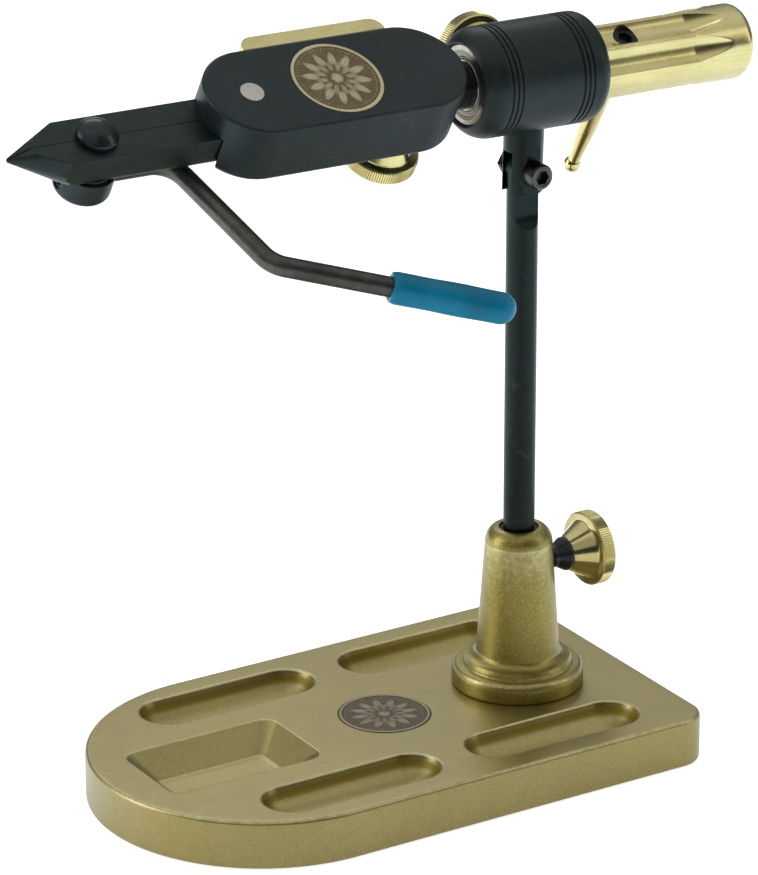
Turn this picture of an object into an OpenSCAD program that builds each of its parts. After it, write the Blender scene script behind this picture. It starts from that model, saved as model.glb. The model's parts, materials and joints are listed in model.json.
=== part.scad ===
// Rotary fly tying vise on a pocket base, in millimetres.
// The origin is on the stem's axis at the underside of the base plate. +X points to the crank end,
// the jaws point to -X, +Y is the side of the drag knob, and +Z is up.

/* [Base plate] */
// Width of the base plate, which is also the diameter of its round front
base_w = 106.8; // [92:0.1:130]
// Whole length of the base plate
base_l = 179.2; // [166:0.1:220]
// Distance from the stem's axis to the rear edge
base_rear = 35.4; // [26:0.1:45]
// Thickness of the base plate
base_t = 15.2; // [13:0.1:20]
// Radius on the long edges of the base plate
base_edge_r = 1.2; // [0.5:0.1:3]
// Radius of the two rear corners
base_corner_r = 9.5; // [4:0.1:14]

/* [Base pockets] */
// Diameter of the ball-nosed cutter that makes the four slots
slot_mill_d = 19.05; // [14:0.05:22]
// Depth of the slots
slot_depth = 7; // [4:0.1:8]
// Distance between the cutter's two end points in a slot
slot_travel = 40.8; // [24:0.1:48]
// Distance of each slot's centre line from the middle of the base
slot_y = 36; // [33:0.1:38]
// Centre of the two front slots along X, ahead of the stem
front_slot_ahead = 81.8; // [76:0.1:92]
// Centre of the two rear slots along X, ahead of the stem
rear_slot_ahead = 11.1; // [5:0.1:20]
// Length of the tray at its rim
tray_l = 51.5; // [40:0.1:56]
// Width of the tray at its rim
tray_w = 32; // [24:0.1:40]
// Depth of the tray
tray_depth = 7.5; // [5:0.1:9]
// How far the tray's walls lean in from rim to floor
tray_lean = 7.5; // [2:0.1:9]
// Corner radius of the tray at its rim
tray_corner_r = 4.5; // [2:0.1:8]
// Centre of the tray along X, ahead of the stem
tray_ahead = 104.6; // [100:0.1:108]

/* [Medallions] */
// Diameter of both inlaid discs
medal_d = 28; // [20:0.1:30]
// Thickness of both inlaid discs
medal_t = 1.6; // [1:0.1:3]
// How far a disc stands out of its recess
medal_proud = 0.2; // [0.1:0.05:0.6]
// Centre of the base's disc along X, ahead of the stem
base_medal_ahead = 48; // [40:0.1:54]

/* [Stem socket] */
// Height of the socket above the base plate
socket_h = 50.9; // [45:0.1:60]
// Diameter of the socket's cone at its top
socket_top_d = 20.6; // [19:0.1:24]
// Diameter of the socket's cone at its foot
socket_foot_d = 25.4; // [25:0.1:30]
// Diameter of the socket's flange
flange_d = 40.4; // [34:0.1:46]
// Height of the flange with its bead
flange_h = 11; // [10:0.1:13]
// Drop of the rounded shoulder at the socket's mouth
socket_shoulder = 5; // [3:0.1:7]
// Bore of the socket, which takes the sleeve
socket_bore = 11.8; // [11.4:0.05:13]
// Solid height at the socket's foot, under its bore
socket_floor = 14.8; // [12:0.1:18]
// Height of the stem knob's axis above the underside
stem_knob_z = 53.1; // [48:0.1:56]
// Diameter of the screws that hold the socket from below
base_screw_d = 5; // [4:0.5:6]
// Diameter of the circle that the socket's screws stand on
base_screw_pcd = 22; // [20:0.5:24]

/* [Stem] */
// Diameter of the stem
stem_d = 9.525; // [9:0.025:10.5]
// Height of the elbow's screw above the underside
elbow_z = 180.2; // [170:0.1:200]
// Running clearance round each turning or sliding part
run_gap = 0.05; // [0.02:0.01:0.08]
// Thickness of the tongue at the top of the stem
tongue_t = 4.8; // [4:0.1:6]
// Diameter of the elbow screw
elbow_screw_d = 4.8; // [4:0.1:5]

/* [Clamp knobs] */
// Diameter of the knurled rims
knob_d = 23; // [18:0.1:26]
// Width of the knurled rims
knob_rim_t = 4.7; // [3.5:0.1:6]
// Length of the knobs' cone
knob_cone_l = 6.6; // [5:0.1:8]
// Length of the black collar under a knob
collar_l = 6; // [5:0.1:8]
// Diameter of the knobs' threaded studs
stud_d = 6; // [5:0.1:7]

/* [Hub] */
// Height of the hub's axis above the elbow's screw
hub_rise = 28.85; // [26:0.05:34]
// Diameter of the hub
hub_d = 33.3; // [31:0.1:38]
// Length of the hub
hub_l = 43.6; // [40:0.1:50]
// How far the hub's middle lies towards the jaws from the stem
hub_ahead = 0.8; // [0:0.1:3]
// Radius on the hub's rear edge
hub_edge_r = 4.6; // [2:0.1:4.8]
// Length of the rounded nose at the hub's front
hub_nose_l = 6.8; // [4:0.1:7]
// Height of the rounded nose at the hub's front
hub_nose_h = 3.9; // [3:0.1:4]
// Tilt at which the hub is set, front end up
rest_tilt = 1.4; // [0:0.1:5]
// Diameter of the clevis under the hub
clevis_d = 12; // [11.8:0.1:14]

/* [Bearings] */
// Outer diameter of the ball bearings
bearing_od = 24; // [23:0.1:26]
// Width of the ball bearings
bearing_w = 6; // [5:0.1:8]
// Depth of the bearing's face inside the hub
bearing_inset = 0.9; // [0.3:0.1:2]
// Number of balls in each bearing
ball_count = 9; // [6:1:10]
// Diameter of the balls
ball_d = 3.2; // [2.4:0.1:3.4]
// Diameter of the spindle
spindle_d = 12; // [11:0.1:12.6]

/* [Handle] */
// Diameter of the brass handle
handle_d = 23; // [20:0.1:26]
// Length of the brass handle
handle_l = 54.2; // [46:0.1:64]
// Width of the gap between the hub and the handle
handle_gap = 0.6; // [0.3:0.1:1.2]
// Diameter of the cutter that makes the flutes
flute_mill_d = 10.6; // [9:0.1:10.6]
// Depth of the flutes
flute_depth = 2.6; // [1.5:0.1:2.6]
// Full length of the flutes, from the handle's front
flute_l = 33; // [20:0.5:36]
// Angle between neighbouring flutes
flute_pitch = 45; // [45:1:60]
// Distance from the handle's front to the handle screw and the crank
handle_screw_in = 10.5; // [7:0.1:12]
// Diameter of the handle screw
handle_screw_d = 7.6; // [6:0.1:8]
// Reach of the crank from the spindle's axis
crank_reach = 46.2; // [40:0.1:60]
// Diameter of the crank where it leaves the handle
crank_d = 6.2; // [5:0.1:7]

/* [Head] */
// Roll at which the head is set, its face towards the tyer
rest_roll = 28.5; // [0:0.5:45]
// Width of the head
head_w = 33.3; // [31:0.1:40]
// Length of the head
head_l = 84.6; // [82:0.1:100]
// Height of the head's face above the spindle's axis
head_up = 11.8; // [11:0.1:14]
// Depth of the head's back below the spindle's axis
head_down = 8.3; // [8:0.1:12]
// Width of the gap between the head and the hub
head_gap = 3.8; // [3:0.1:8]
// Radius on the edges of the head
head_edge_r = 1; // [0.4:0.1:2]
// Diameter of the jaw pin
pin_d = 7.1; // [6:0.1:7.6]
// Thickness of the balance bar
bar_t = 4.8; // [4:0.1:6]
// Height of the balance bar
bar_h = 14; // [10:0.1:18]
// Length of the balance bar against the head
bar_l = 47.6; // [44:0.1:51]

/* [Jaws] */
// Width across both jaws
jaw_w = 16.8; // [16:0.1:19]
// Height of the jaws' upper face above the spindle's axis
jaw_up = 3.5; // [3.4:0.1:4.2]
// Depth of the jaws' tails below the spindle's axis, inside the head
jaw_down = 4.5; // [4:0.1:4.7]
// Depth of the jaws' body below the spindle's axis, ahead of the hinge
jaw_body_down = 6.9; // [6:0.1:7.4]
// Distance from the jaw pin to the jaws' tip
jaw_reach = 75.6; // [70:0.1:84]
// Distance from the jaw pin to the end of the jaws' tails
tail_l = 24.5; // [20:0.1:27]
// Length of the bevel that thins the jaws' upper face to their tip
nose_bevel_l = 7.2; // [5:0.1:12]
// Width and height of the blunt tip
tip_t = 1.2; // [0.8:0.1:2]
// Slope of the jaws' conical nose, rise over run
nose_slope_share = 0.505; // [0.45:0.005:0.6]
// Gap between the closed jaws
jaw_gap = 0.1; // [0.04:0.01:0.12]

/* [Cam lever] */
// Distance from the jaws' tip back to the cam's axis
cam_back = 27.5; // [26:0.1:32]
// Diameter of the cam post
cam_d = 8; // [7:0.1:8.4]
// Thickness of the cam post across its two flats
cam_flat_t = 6; // [5:0.1:6.2]
// Diameter of the domed button
button_d = 12.4; // [10:0.1:14]
// Diameter of the cam hub
cam_hub_d = 17.2; // [15:0.1:20]
// Height of the cam hub
cam_hub_h = 8.8; // [8:0.1:11]
// Diameter of the lever's rod
rod_d = 6; // [5:0.1:6.6]
// Bend radius along the rod's middle
rod_bend_r = 9; // [7:0.1:12]
// Diameter of the lever's grip
grip_d = 9.4; // [8:0.1:11]
// Length of the lever's grip
grip_l = 36.9; // [30:0.1:50]
// Rod's first straight, from the cam's axis to the first bend's corner
rod_a_l = 27.7; // [25:0.1:31]
// Rod's second straight, from corner to corner
rod_b_l = 45.3; // [38:0.1:54]
// Rod's last straight, from the second corner to the end of the grip
rod_c_l = 71.4; // [60:0.1:84]
// Directions of the rod's straights, turned from the head's axis
rod_angles = [0, 75.8, 27.4]; // [0:1:90]

/* [Hidden] */
$fn = 64;
over = 1;                       // overrun of every cut
touch = 0.1;                    // small running gap between flat faces

// Base
front_x = base_rear - base_l + base_w / 2;
rear_x = base_rear;
slot_r = slot_mill_d / 2;
medal_floor = medal_t - medal_proud;
medal_rim = 1.4;
medal_boss = 4.5;
petals = 12;
petal_d = 3;
petal_pcd = 16.4;
base_screws = 4;
base_screw_head_d = 8.5;
base_screw_head_h = 5;
base_screw_hex = 4;
base_screw_sink = 0.6;          // depth of the screw heads below the underside
base_screw_grip = 10;           // length of the screws inside the socket

// Socket, as heights above the underside
socket_top = base_t + socket_h;
bore_floor = base_t + socket_floor;
band_h = 3.4;                   // straight band at the flange's foot
band_chamfer = 0.4;
band_round_w = 1.7;             // rounding above the band
band_round_h = 3;
bead_d = 33.2;                  // bead between the flange and the fillet
bead_step_h = 1;
fillet_d = 32;                  // lower end of the fillet
fillet_z = 8.6;
socket_slope = (socket_foot_d - socket_top_d) / 2 / (socket_h - socket_shoulder - flange_h);
sleeve_drop = 0.7;              // the sleeve's rim below the socket's mouth
sleeve_slit = 1.2;
stem_lift = 1.5;                // the stem's end above the bore's floor

// Elbow
tongue_cut_r = 6;
tongue_low = 13.2;              // flats' lower end below the elbow's screw
clevis_drop = 6.5;              // the ears' end below the elbow's screw
slot_rise = 6.1;                // the ears' root above the elbow's screw
spigot_d = 10;
spigot_l = 6;
screw_seat = 0.4;               // depth of the seats under the elbow's screw and nut
elbow_head_d = 7.9;
elbow_head_h = 5;
elbow_hex = 4;
elbow_nut_af = 7;
elbow_nut_h = 2.2;
elbow_tail_l = 1.2;             // the screw's end outside its nut
spot_face_d = 16.6;             // seats milled across the clevis

// Knobs, along their own axis from the face that they sit on
collar_lift = 0.3;
collar_neck_l = 1.6;
collar_neck_d = 6.8;
collar_rim_l = 1;
cone_small_d = 10.4;
cone_big_d = 17.6;
rim_chamfer = 0.5;
stud_in_knob = 8;               // the stud's length inside a knob
drag_lift = 3.3;                // the drag knob's distance from the hub
stem_knob_lift = 0.3;           // the stem knob's collar stands off the socket
stem_knob_x = socket_top_d / 2 + socket_slope * (socket_top - socket_shoulder - stem_knob_z)
    + stem_knob_lift;

// Hub, along its own axis
hub_x0 = -hub_ahead - hub_l / 2;
hub_x1 = -hub_ahead + hub_l / 2;
hub_bore = bearing_od - 5;
groove_xs = [hub_l / 2 - 7.6, hub_l / 2 - 9.3, hub_l / 2 - 11];
nose_steps = 7;                 // steps of the curves at the hub's ends
groove_w = 0.7;
groove_d = 0.45;
mouth_chamfer = 0.5;
pitch_r = (bearing_od + spindle_d) / 4;
race_lip = ball_d * 0.375;      // half of the gap between the two races
shield_t = 0.4;
shield_in = 0.2;
cage_wall = 1;
shoe_l = 5;
spacer_wall = 1.5;

// Handle, along the spindle
handle_x0 = hub_x1 + handle_gap;
handle_screw_x = handle_x0 + handle_screw_in;
handle_end_r = 3.5;
handle_nose_d = spindle_d + 2.4;
flute_ramp_l = 13;              // length of the flutes' run-out
flute_ramp_share = 1.05;        // depth that the run-out climbs, against the flutes' own
spindle_in_handle = 38;
spindle_in_head = 31.6;
shoulder_d = 14;
screw_stand = 3;                // length of the handle screw outside the spindle
handle_screw_hex = 4;
crank_seat = handle_d / 2 - flute_depth + flute_mill_d / 2
    - sqrt(pow(flute_mill_d / 2, 2) - pow(crank_d / 2, 2));
crank_shank_d = 5;
crank_neck_d = 3.8;
crank_ball_d = 5.3;
crank_neck_l = 2;               // from the ball's middle to its neck
crank_mid_d = 5.7;              // diameters on the crank's taper, at their reach
crank_mid_reach = 27.6;
crank_low_d = 4.6;
crank_low_reach = 34;

// Head, with x along the spindle, y away from the lever and z out of the face
head_x1 = hub_x0 - head_gap;
head_x0 = head_x1 - head_l;
head_r = head_w / 2;
round_x = head_x0 + head_r;      // middle of the head's round front
pin_ahead = 2.4;                // the jaw pin ahead of that middle
pin_x = round_x - pin_ahead;
clamp_x = head_x1 - head_r;
chin_wall = 2.5;                // metal ahead of the jaw pin under the slot
head_medal_x = (pin_x + clamp_x) / 2 + 1.4;
slot_side = 0.6;                // side gap between the jaws and the head's slot
slot_face = 0.12;               // gap above and below the jaws
slot_end = 1;                   // gap behind the jaws' tails
pin_end = 1.1;                  // metal left under the jaw pin
pin_proud = 0.15;
bar_corner_r = 4.2;
bar_back = 2.8;                 // the bar's middle behind the middle between pin and knob
bar_x = (pin_x + clamp_x) / 2 + bar_back;
bar_drop = 0.5;                 // the bar's top below the head's face
bar_screw_d = 3.2;
bar_screw_l = 6;
bar_head_d = 6;
bar_head_h = 2.6;
bar_screw_hex = 2.5;
bar_screw_pitch = 30;

// Jaws
tip_x = pin_x - jaw_reach;
cam_x = tip_x + cam_back;
side_h = 3.4;                   // upright height at the top of a jaw's side
side_lean = 0.5;                // how far the side leans in below that
heel_h = 1.8;                   // broken edge at a jaw's heel
heel_w = 0.8;
eye_r = pin_d / 2 + 3.9;
jaw_step_gap = 0.5;             // gap between the eyes and the jaws' deeper body
lap_gap = 0.06;
lap_side = 0.25;
tail_gap = 2.6;                 // space between the jaws' tails
spring_d = 6;
spring_wire = 0.9;
spring_back = 17;               // the spring's distance behind the jaw pin
spring_pocket = 2.2;
spring_free = 0.5;
cam_flat_gap = 0.12;
cam_end_gap = 0.25;
washer_t = 0.9;
washer_d = 15;
button_rim = 1.6;
button_dome = 3.2;
cam_hub_edge_r = 2.4;
cam_screw_d = 4.8;
cam_screw_l = 4.1;
cam_screw_hex = 2.5;
rod_grip_l = 3.6;               // the rod's length inside the cam hub
rod_drop = 11.8;                // the rod's middle below the spindle's axis
rod_start = cam_hub_d / 2 - rod_grip_l;
rod_lap = 0.5;                  // how far a straight runs on into a bend
rod_swell = 0.04;               // how much thicker a bend's section is, in radius
grip_wall_end = 3;
turn_a = rod_angles[1] - rod_angles[0];
turn_b = rod_angles[1] - rod_angles[2];

// Frames: the hub's own, the head's own, and one laid along X
module hub_frame() {
    translate([0, 0, elbow_z]) rotate([0, rest_tilt, 0]) translate([0, 0, hub_rise]) children();
}
module elbow_frame() {
    translate([0, 0, elbow_z]) rotate([0, rest_tilt, 0]) children();
}
module head_frame() { hub_frame() rotate([rest_roll, 0, 0]) children(); }
module along_x(x = 0) { translate([x, 0, 0]) rotate([0, 90, 0]) children(); }

// Plain shapes
module tube(l, outer_d, inner_d) {
    difference() {
        cylinder(h = l, d = outer_d);
        translate([0, 0, -over]) cylinder(h = l + 2 * over, d = inner_d);
    }
}
module hex(af, l) { cylinder(h = l, d = af / cos(30), $fn = 6); }
// Rectangle with its outer corners rounded, standing on y = 0 and centred on x
module round_rect(w, h, r) {
    translate([-w / 2, r]) square([w, h - 2 * r]);
    translate([r - w / 2, 0]) square([w - 2 * r, h]);
    for (x = [r - w / 2, w / 2 - r], y = [r, h - r]) translate([x, y]) circle(r = r);
}
// The half of that rectangle that lies at x > 0, to be turned into a disc
module half_round_rect(radius, h, r) {
    translate([0, r]) square([radius, h - 2 * r]);
    square([radius - r, h]);
    for (y = [r, h - r]) translate([radius - r, y]) circle(r = r);
}

// Base
module slot_cut(x, y) {
    translate([x, y, base_t - slot_depth + slot_r]) {
        along_x(-slot_travel / 2) cylinder(h = slot_travel, r = slot_r);
        for (s = [-1, 1]) translate([s * slot_travel / 2, 0, 0]) sphere(r = slot_r);
    }
}
module tray_ring(l, w, r, z) {
    for (sx = [-1, 1], sy = [-1, 1])
        translate([sx * (l / 2 - r), sy * (w / 2 - r), z]) cylinder(h = over / 10, r = r, $fn = 32);
}
module tray_cut() {
    floor_r = tray_corner_r / 2;
    slope_over = tray_lean * over / tray_depth;
    translate([-tray_ahead, 0, base_t]) hull() {
        tray_ring(tray_l - 2 * tray_lean, tray_w - 2 * tray_lean, floor_r, -tray_depth);
        tray_ring(tray_l + 2 * slope_over, tray_w + 2 * slope_over, tray_corner_r, over);
    }
}
module base_outline() {
    translate([front_x, 0]) circle(d = base_w, $fn = 128);
    translate([front_x, -base_w / 2]) square([rear_x - base_corner_r - front_x, base_w]);
    translate([front_x, base_corner_r - base_w / 2])
        square([rear_x - front_x, base_w - 2 * base_corner_r]);
    for (s = [-1, 1]) translate([rear_x - base_corner_r, s * (base_w / 2 - base_corner_r)])
        circle(r = base_corner_r);
}
module base_blank() {
    intersection() {
        union() {
            translate([front_x, 0, 0]) rotate_extrude($fn = 128)
                half_round_rect(base_w / 2, base_t, base_edge_r);
            along_x(front_x) rotate([0, 0, 90]) linear_extrude(rear_x - front_x)
                round_rect(base_w, base_t, base_edge_r);
        }
        linear_extrude(base_t) base_outline();
        translate([rear_x - base_l / 2 - over / 2, base_w / 2 + over, 0]) rotate([90, 0, 0])
            linear_extrude(base_w + 2 * over) round_rect(base_l + over, base_t, base_edge_r);
    }
}
module base_plate() {
    color([0.66, 0.61, 0.42]) difference() {
        base_blank();
        for (x = [-front_slot_ahead, -rear_slot_ahead], s = [-1, 1]) slot_cut(x, s * slot_y);
        tray_cut();
        translate([-base_medal_ahead, 0, base_t - medal_floor])
            cylinder(h = medal_floor + over, d = medal_d);
        base_screw_places() translate([0, 0, -over]) {
            cylinder(h = base_t + 2 * over, d = base_screw_d);
            cylinder(h = over + base_screw_sink + base_screw_head_h, d = base_screw_head_d);
        }
    }
}
// An inlaid disc: a raised rim round a field with a ring of petals and a boss
module medallion() {
    field = medal_t - medal_proud;
    cylinder(h = field, d = medal_d);
    translate([0, 0, field]) {
        tube(medal_proud, medal_d, medal_d - 2 * medal_rim);
        cylinder(h = medal_proud, d = medal_boss);
        for (i = [0 : petals - 1]) rotate(i * 360 / petals) translate([petal_pcd / 2, 0, 0])
            cylinder(h = medal_proud, d = petal_d);
    }
}
module base_medallion() {
    color([0.42, 0.38, 0.33]) translate([-base_medal_ahead, 0, base_t - medal_floor]) medallion();
}
module socket_profile() {
    top_r = socket_top_d / 2;
    foot_r = socket_foot_d / 2;
    rim_r = flange_d / 2;
    lip_r = socket_bore / 2 + sleeve_drop;
    bead_z = band_h + band_round_h;
    polygon(concat(
        [[0, 0], [rim_r - band_chamfer, 0], [rim_r, band_chamfer]],
        [for (a = [0 : 15 : 90]) [rim_r - band_round_w * (1 - cos(a)), band_h + band_round_h * sin(a)]],
        [[bead_d / 2, bead_z], [bead_d / 2, bead_z + bead_step_h], [fillet_d / 2, fillet_z]],
        [for (a = [15 : 15 : 90]) [fillet_d / 2 - (fillet_d / 2 - foot_r) * sin(a),
            flange_h - (flange_h - fillet_z) * cos(a)]],
        [for (a = [0 : 15 : 90]) [lip_r + (top_r - lip_r) * cos(a),
            socket_h - socket_shoulder * (1 - sin(a))]],
        [[0, socket_h]]));
}
module stem_socket() {
    color([0.68, 0.62, 0.42]) difference() {
        translate([0, 0, base_t]) rotate_extrude($fn = 96) socket_profile();
        translate([0, 0, bore_floor]) cylinder(h = socket_top, d = socket_bore);
        base_screw_places() translate([0, 0, base_t - over])
            cylinder(h = over + base_screw_grip, d = base_screw_d);
        translate([0, 0, stem_knob_z]) along_x() cylinder(h = socket_foot_d, d = stud_d + 2 * run_gap);
    }
}
module base_screw_places() {
    for (i = [0 : base_screws - 1]) rotate((i + 1 / 2) * 360 / base_screws)
        translate([base_screw_pcd / 2, 0, 0]) children();
}
module base_screws() {
    color([0.25, 0.25, 0.27]) base_screw_places() translate([0, 0, base_screw_sink]) difference() {
        union() {
            cylinder(h = base_screw_head_h, d = base_screw_head_d);
            cylinder(h = base_t - base_screw_sink + base_screw_grip, d = base_screw_d);
        }
        translate([0, 0, -over]) hex(base_screw_hex, over + base_screw_head_h / 2);
    }
}

// Stem
module stem_sleeve() {
    sleeve_l = socket_top - sleeve_drop - bore_floor - touch;
    color([0.07, 0.07, 0.08]) translate([0, 0, bore_floor + touch]) difference() {
        tube(sleeve_l, socket_bore - 2 * run_gap, stem_d + 2 * run_gap);
        translate([-socket_bore, -sleeve_slit / 2, -over])
            cube([socket_bore, sleeve_slit, sleeve_l + 2 * over]);
    }
}
module stem() {
    stem_z0 = bore_floor + stem_lift;
    color([0.13, 0.17, 0.18]) difference() {
        union() {
            translate([0, 0, stem_z0]) cylinder(h = elbow_z - stem_z0, d = stem_d);
            translate([0, 0, elbow_z]) rotate([90, 0, 0])
                cylinder(h = tongue_t, d = stem_d, center = true);
        }
        for (s = [-1, 1]) {
            translate([-stem_d, s * (tongue_t / 2 + stem_d / 2), elbow_z - tongue_low])
                translate([0, -stem_d / 2, 0]) cube([2 * stem_d, stem_d, 2 * tongue_low]);
            translate([0, s * (tongue_t / 2 + tongue_cut_r), elbow_z - tongue_low])
                along_x(-stem_d) cylinder(h = 2 * stem_d, r = tongue_cut_r);
        }
        translate([0, 0, elbow_z]) rotate([90, 0, 0])
            cylinder(h = stem_d, d = elbow_screw_d + 2 * run_gap, center = true);
    }
}

// Clamp knobs, along +Z from the face that they sit on
module knob_brass() {
    rim_z = knob_cone_l;
    rim_r = knob_d / 2;
    color([0.78, 0.68, 0.38]) difference() {
        rotate_extrude($fn = 96) polygon([[0, 0], [cone_small_d / 2, 0],
            [cone_big_d / 2, rim_z - rim_chamfer], [cone_big_d / 2, rim_z],
            [rim_r - rim_chamfer, rim_z], [rim_r, rim_z + rim_chamfer],
            [rim_r, rim_z + knob_rim_t - rim_chamfer], [rim_r - rim_chamfer, rim_z + knob_rim_t],
            [0, rim_z + knob_rim_t]]);
        translate([0, 0, -over]) cylinder(h = over + stud_in_knob, d = stud_d);
    }
}
module knob_collar() {
    color([0.1, 0.13, 0.13]) difference() {
        rotate_extrude() polygon([[0, 0], [collar_neck_d / 2, 0], [collar_neck_d / 2, collar_neck_l],
            [cone_small_d / 2, collar_l - collar_lift - collar_rim_l],
            [cone_small_d / 2, collar_l - collar_lift], [0, collar_l - collar_lift]]);
        translate([0, 0, -over]) cylinder(h = collar_l + 2 * over, d = stud_d);
    }
}
module stem_knob_frame() { translate([0, 0, stem_knob_z]) along_x(stem_knob_x) children(); }
module stem_knob() { stem_knob_frame() translate([0, 0, collar_l]) knob_brass(); }
module stem_knob_collar() { stem_knob_frame() translate([0, 0, collar_lift]) knob_collar(); }
module stem_knob_stud() {
    color([0.14, 0.16, 0.16]) translate([0, 0, stem_knob_z]) along_x(socket_bore / 2)
        cylinder(h = stem_knob_x + collar_l + stud_in_knob - socket_bore / 2, d = stud_d);
}

// Elbow
module elbow_clevis() {
    rise = hub_rise - hub_d / 2;
    color([0.12, 0.15, 0.16]) elbow_frame() difference() {
        union() {
            translate([0, 0, -clevis_drop]) cylinder(h = clevis_drop + rise + over, d = clevis_d);
            translate([0, 0, rise]) cylinder(h = spigot_l, d = spigot_d);
        }
        difference() {
            translate([0, 0, hub_rise]) along_x(-clevis_d) cylinder(h = 2 * clevis_d, d = hub_d);
            translate([0, 0, rise - over]) cylinder(h = spigot_l + 2 * over, d = spigot_d);
        }
        translate([-clevis_d, -tongue_t / 2 - touch / 2, -clevis_drop - over])
            cube([2 * clevis_d, tongue_t + touch, clevis_drop + slot_rise + over]);
        rotate([90, 0, 0]) cylinder(h = 2 * clevis_d, d = elbow_screw_d, center = true);
        for (s = [-1, 1]) rotate([90 * s, 0, 0]) translate([0, 0, clevis_d / 2 - screw_seat])
            cylinder(h = clevis_d, d = spot_face_d);
    }
}
module elbow_screw() {
    color([0.28, 0.29, 0.28]) elbow_frame() rotate([90, 0, 0]) difference() {
        union() {
            translate([0, 0, -clevis_d / 2 - elbow_nut_h - elbow_tail_l])
                cylinder(h = clevis_d + elbow_nut_h + elbow_tail_l, d = elbow_screw_d);
            translate([0, 0, clevis_d / 2 - screw_seat])
                cylinder(h = elbow_head_h, d = elbow_head_d);
        }
        translate([0, 0, clevis_d / 2 + elbow_head_h - screw_seat - elbow_head_h / 2])
            hex(elbow_hex, elbow_head_h);
    }
}
module elbow_nut() {
    color([0.6, 0.6, 0.58]) elbow_frame() rotate([-90, 0, 0])
        translate([0, 0, clevis_d / 2 - screw_seat]) difference() {
            hex(elbow_nut_af, elbow_nut_h);
            translate([0, 0, -over]) cylinder(h = elbow_nut_h + 2 * over, d = elbow_screw_d);
        }
}

// Hub and bearings, along the hub's axis
module hub_profile() {
    r = hub_d / 2;
    nose_r = (pow(hub_nose_l, 2) + pow(hub_nose_h, 2)) / (2 * hub_nose_h);
    nose_a = asin(hub_nose_l / nose_r);
    difference() {
        polygon(concat([[0, 0]],
            [for (i = [0 : nose_steps]) let (a = nose_a * (1 - i / nose_steps))
                [hub_nose_l - nose_r * sin(a), r - nose_r * (1 - cos(a))]],
            [for (i = [0 : nose_steps]) let (a = 90 * i / nose_steps)
                [hub_l - hub_edge_r * (1 - sin(a)), r - hub_edge_r * (1 - cos(a))]],
            [[hub_l, 0]]));
        translate([-over, -hub_d]) square([hub_l + 2 * over, hub_d]);
        for (x = groove_xs, s = [-1, 1])
            translate([hub_l / 2 + s * x - groove_w / 2, r - groove_d]) square([groove_w, over]);
    }
}
module hub_housing() {
    seat = bearing_inset + bearing_w;
    color([0.15, 0.17, 0.18]) hub_frame() difference() {
        along_x(hub_x0) rotate_extrude($fn = 96) rotate(90) mirror([0, 1]) hub_profile();
        along_x(hub_x0 - over) cylinder(h = hub_l + 2 * over, d = hub_bore);
        along_x(hub_x0 - over) cylinder(h = over + seat, d = bearing_od);
        along_x(hub_x1 - seat) cylinder(h = over + seat, d = bearing_od);
        along_x(hub_x0) cylinder(h = mouth_chamfer, d1 = bearing_od + 2 * mouth_chamfer, d2 = bearing_od);
        along_x(hub_x1 - mouth_chamfer)
            cylinder(h = mouth_chamfer, d1 = bearing_od, d2 = bearing_od + 2 * mouth_chamfer);
        translate([0, 0, -hub_d / 2 - over]) cylinder(h = spigot_l + over, d = spigot_d);
        rotate([-90, 0, 0]) cylinder(h = hub_d, d = stud_d + 2 * run_gap);
    }
}
// A bearing's pieces, from its outer face at z = 0
module ball_groove() {
    translate([0, 0, bearing_w / 2]) rotate_extrude() translate([pitch_r, 0])
        circle(d = ball_d + run_gap);
}
module outer_race() {
    difference() {
        tube(bearing_w, bearing_od, 2 * (pitch_r + race_lip));
        ball_groove();
    }
}
module inner_race() {
    difference() {
        tube(bearing_w, 2 * (pitch_r - race_lip), spindle_d);
        ball_groove();
    }
}
module shields() {
    for (z = [shield_in, bearing_w - shield_in - shield_t]) translate([0, 0, z])
        tube(shield_t, 2 * (pitch_r + race_lip), 2 * (pitch_r - race_lip + touch));
}
module balls() {
    for (i = [0 : ball_count - 1]) rotate(i * 360 / ball_count)
        translate([pitch_r, 0, bearing_w / 2]) sphere(d = ball_d);
}
module cage() {
    difference() {
        translate([0, 0, bearing_w / 2]) tube(ball_d / 2 + shield_t / 2,
            2 * pitch_r + cage_wall, 2 * pitch_r - cage_wall);
        for (i = [0 : ball_count - 1]) rotate(i * 360 / ball_count)
            translate([pitch_r, 0, bearing_w / 2]) sphere(d = ball_d + run_gap);
    }
}
module front_place() { hub_frame() along_x(hub_x0 + bearing_inset) children(); }
module rear_place() { hub_frame() along_x(hub_x1 - bearing_inset - bearing_w) children(); }
module front_outer_race() { color([0.72, 0.72, 0.7]) front_place() outer_race(); }
module rear_outer_race() { color([0.72, 0.72, 0.7]) rear_place() outer_race(); }
module front_inner_race() { color([0.68, 0.68, 0.66]) front_place() inner_race(); }
module rear_inner_race() { color([0.68, 0.68, 0.66]) rear_place() inner_race(); }
module front_shields() { color([0.62, 0.62, 0.6]) front_place() shields(); }
module rear_shields() { color([0.62, 0.62, 0.6]) rear_place() shields(); }
module bearing_balls() {
    color([0.8, 0.8, 0.8]) { front_place() balls(); rear_place() balls(); }
}
module bearing_cages() {
    color([0.5, 0.45, 0.3]) { front_place() cage(); rear_place() cage(); }
}
module spacer_tube() {
    inner_end = bearing_inset + bearing_w;
    color([0.5, 0.5, 0.5]) hub_frame() along_x(hub_x0 + inner_end)
        tube(hub_l - 2 * inner_end, spindle_d + 2 * spacer_wall, spindle_d);
}

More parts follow.
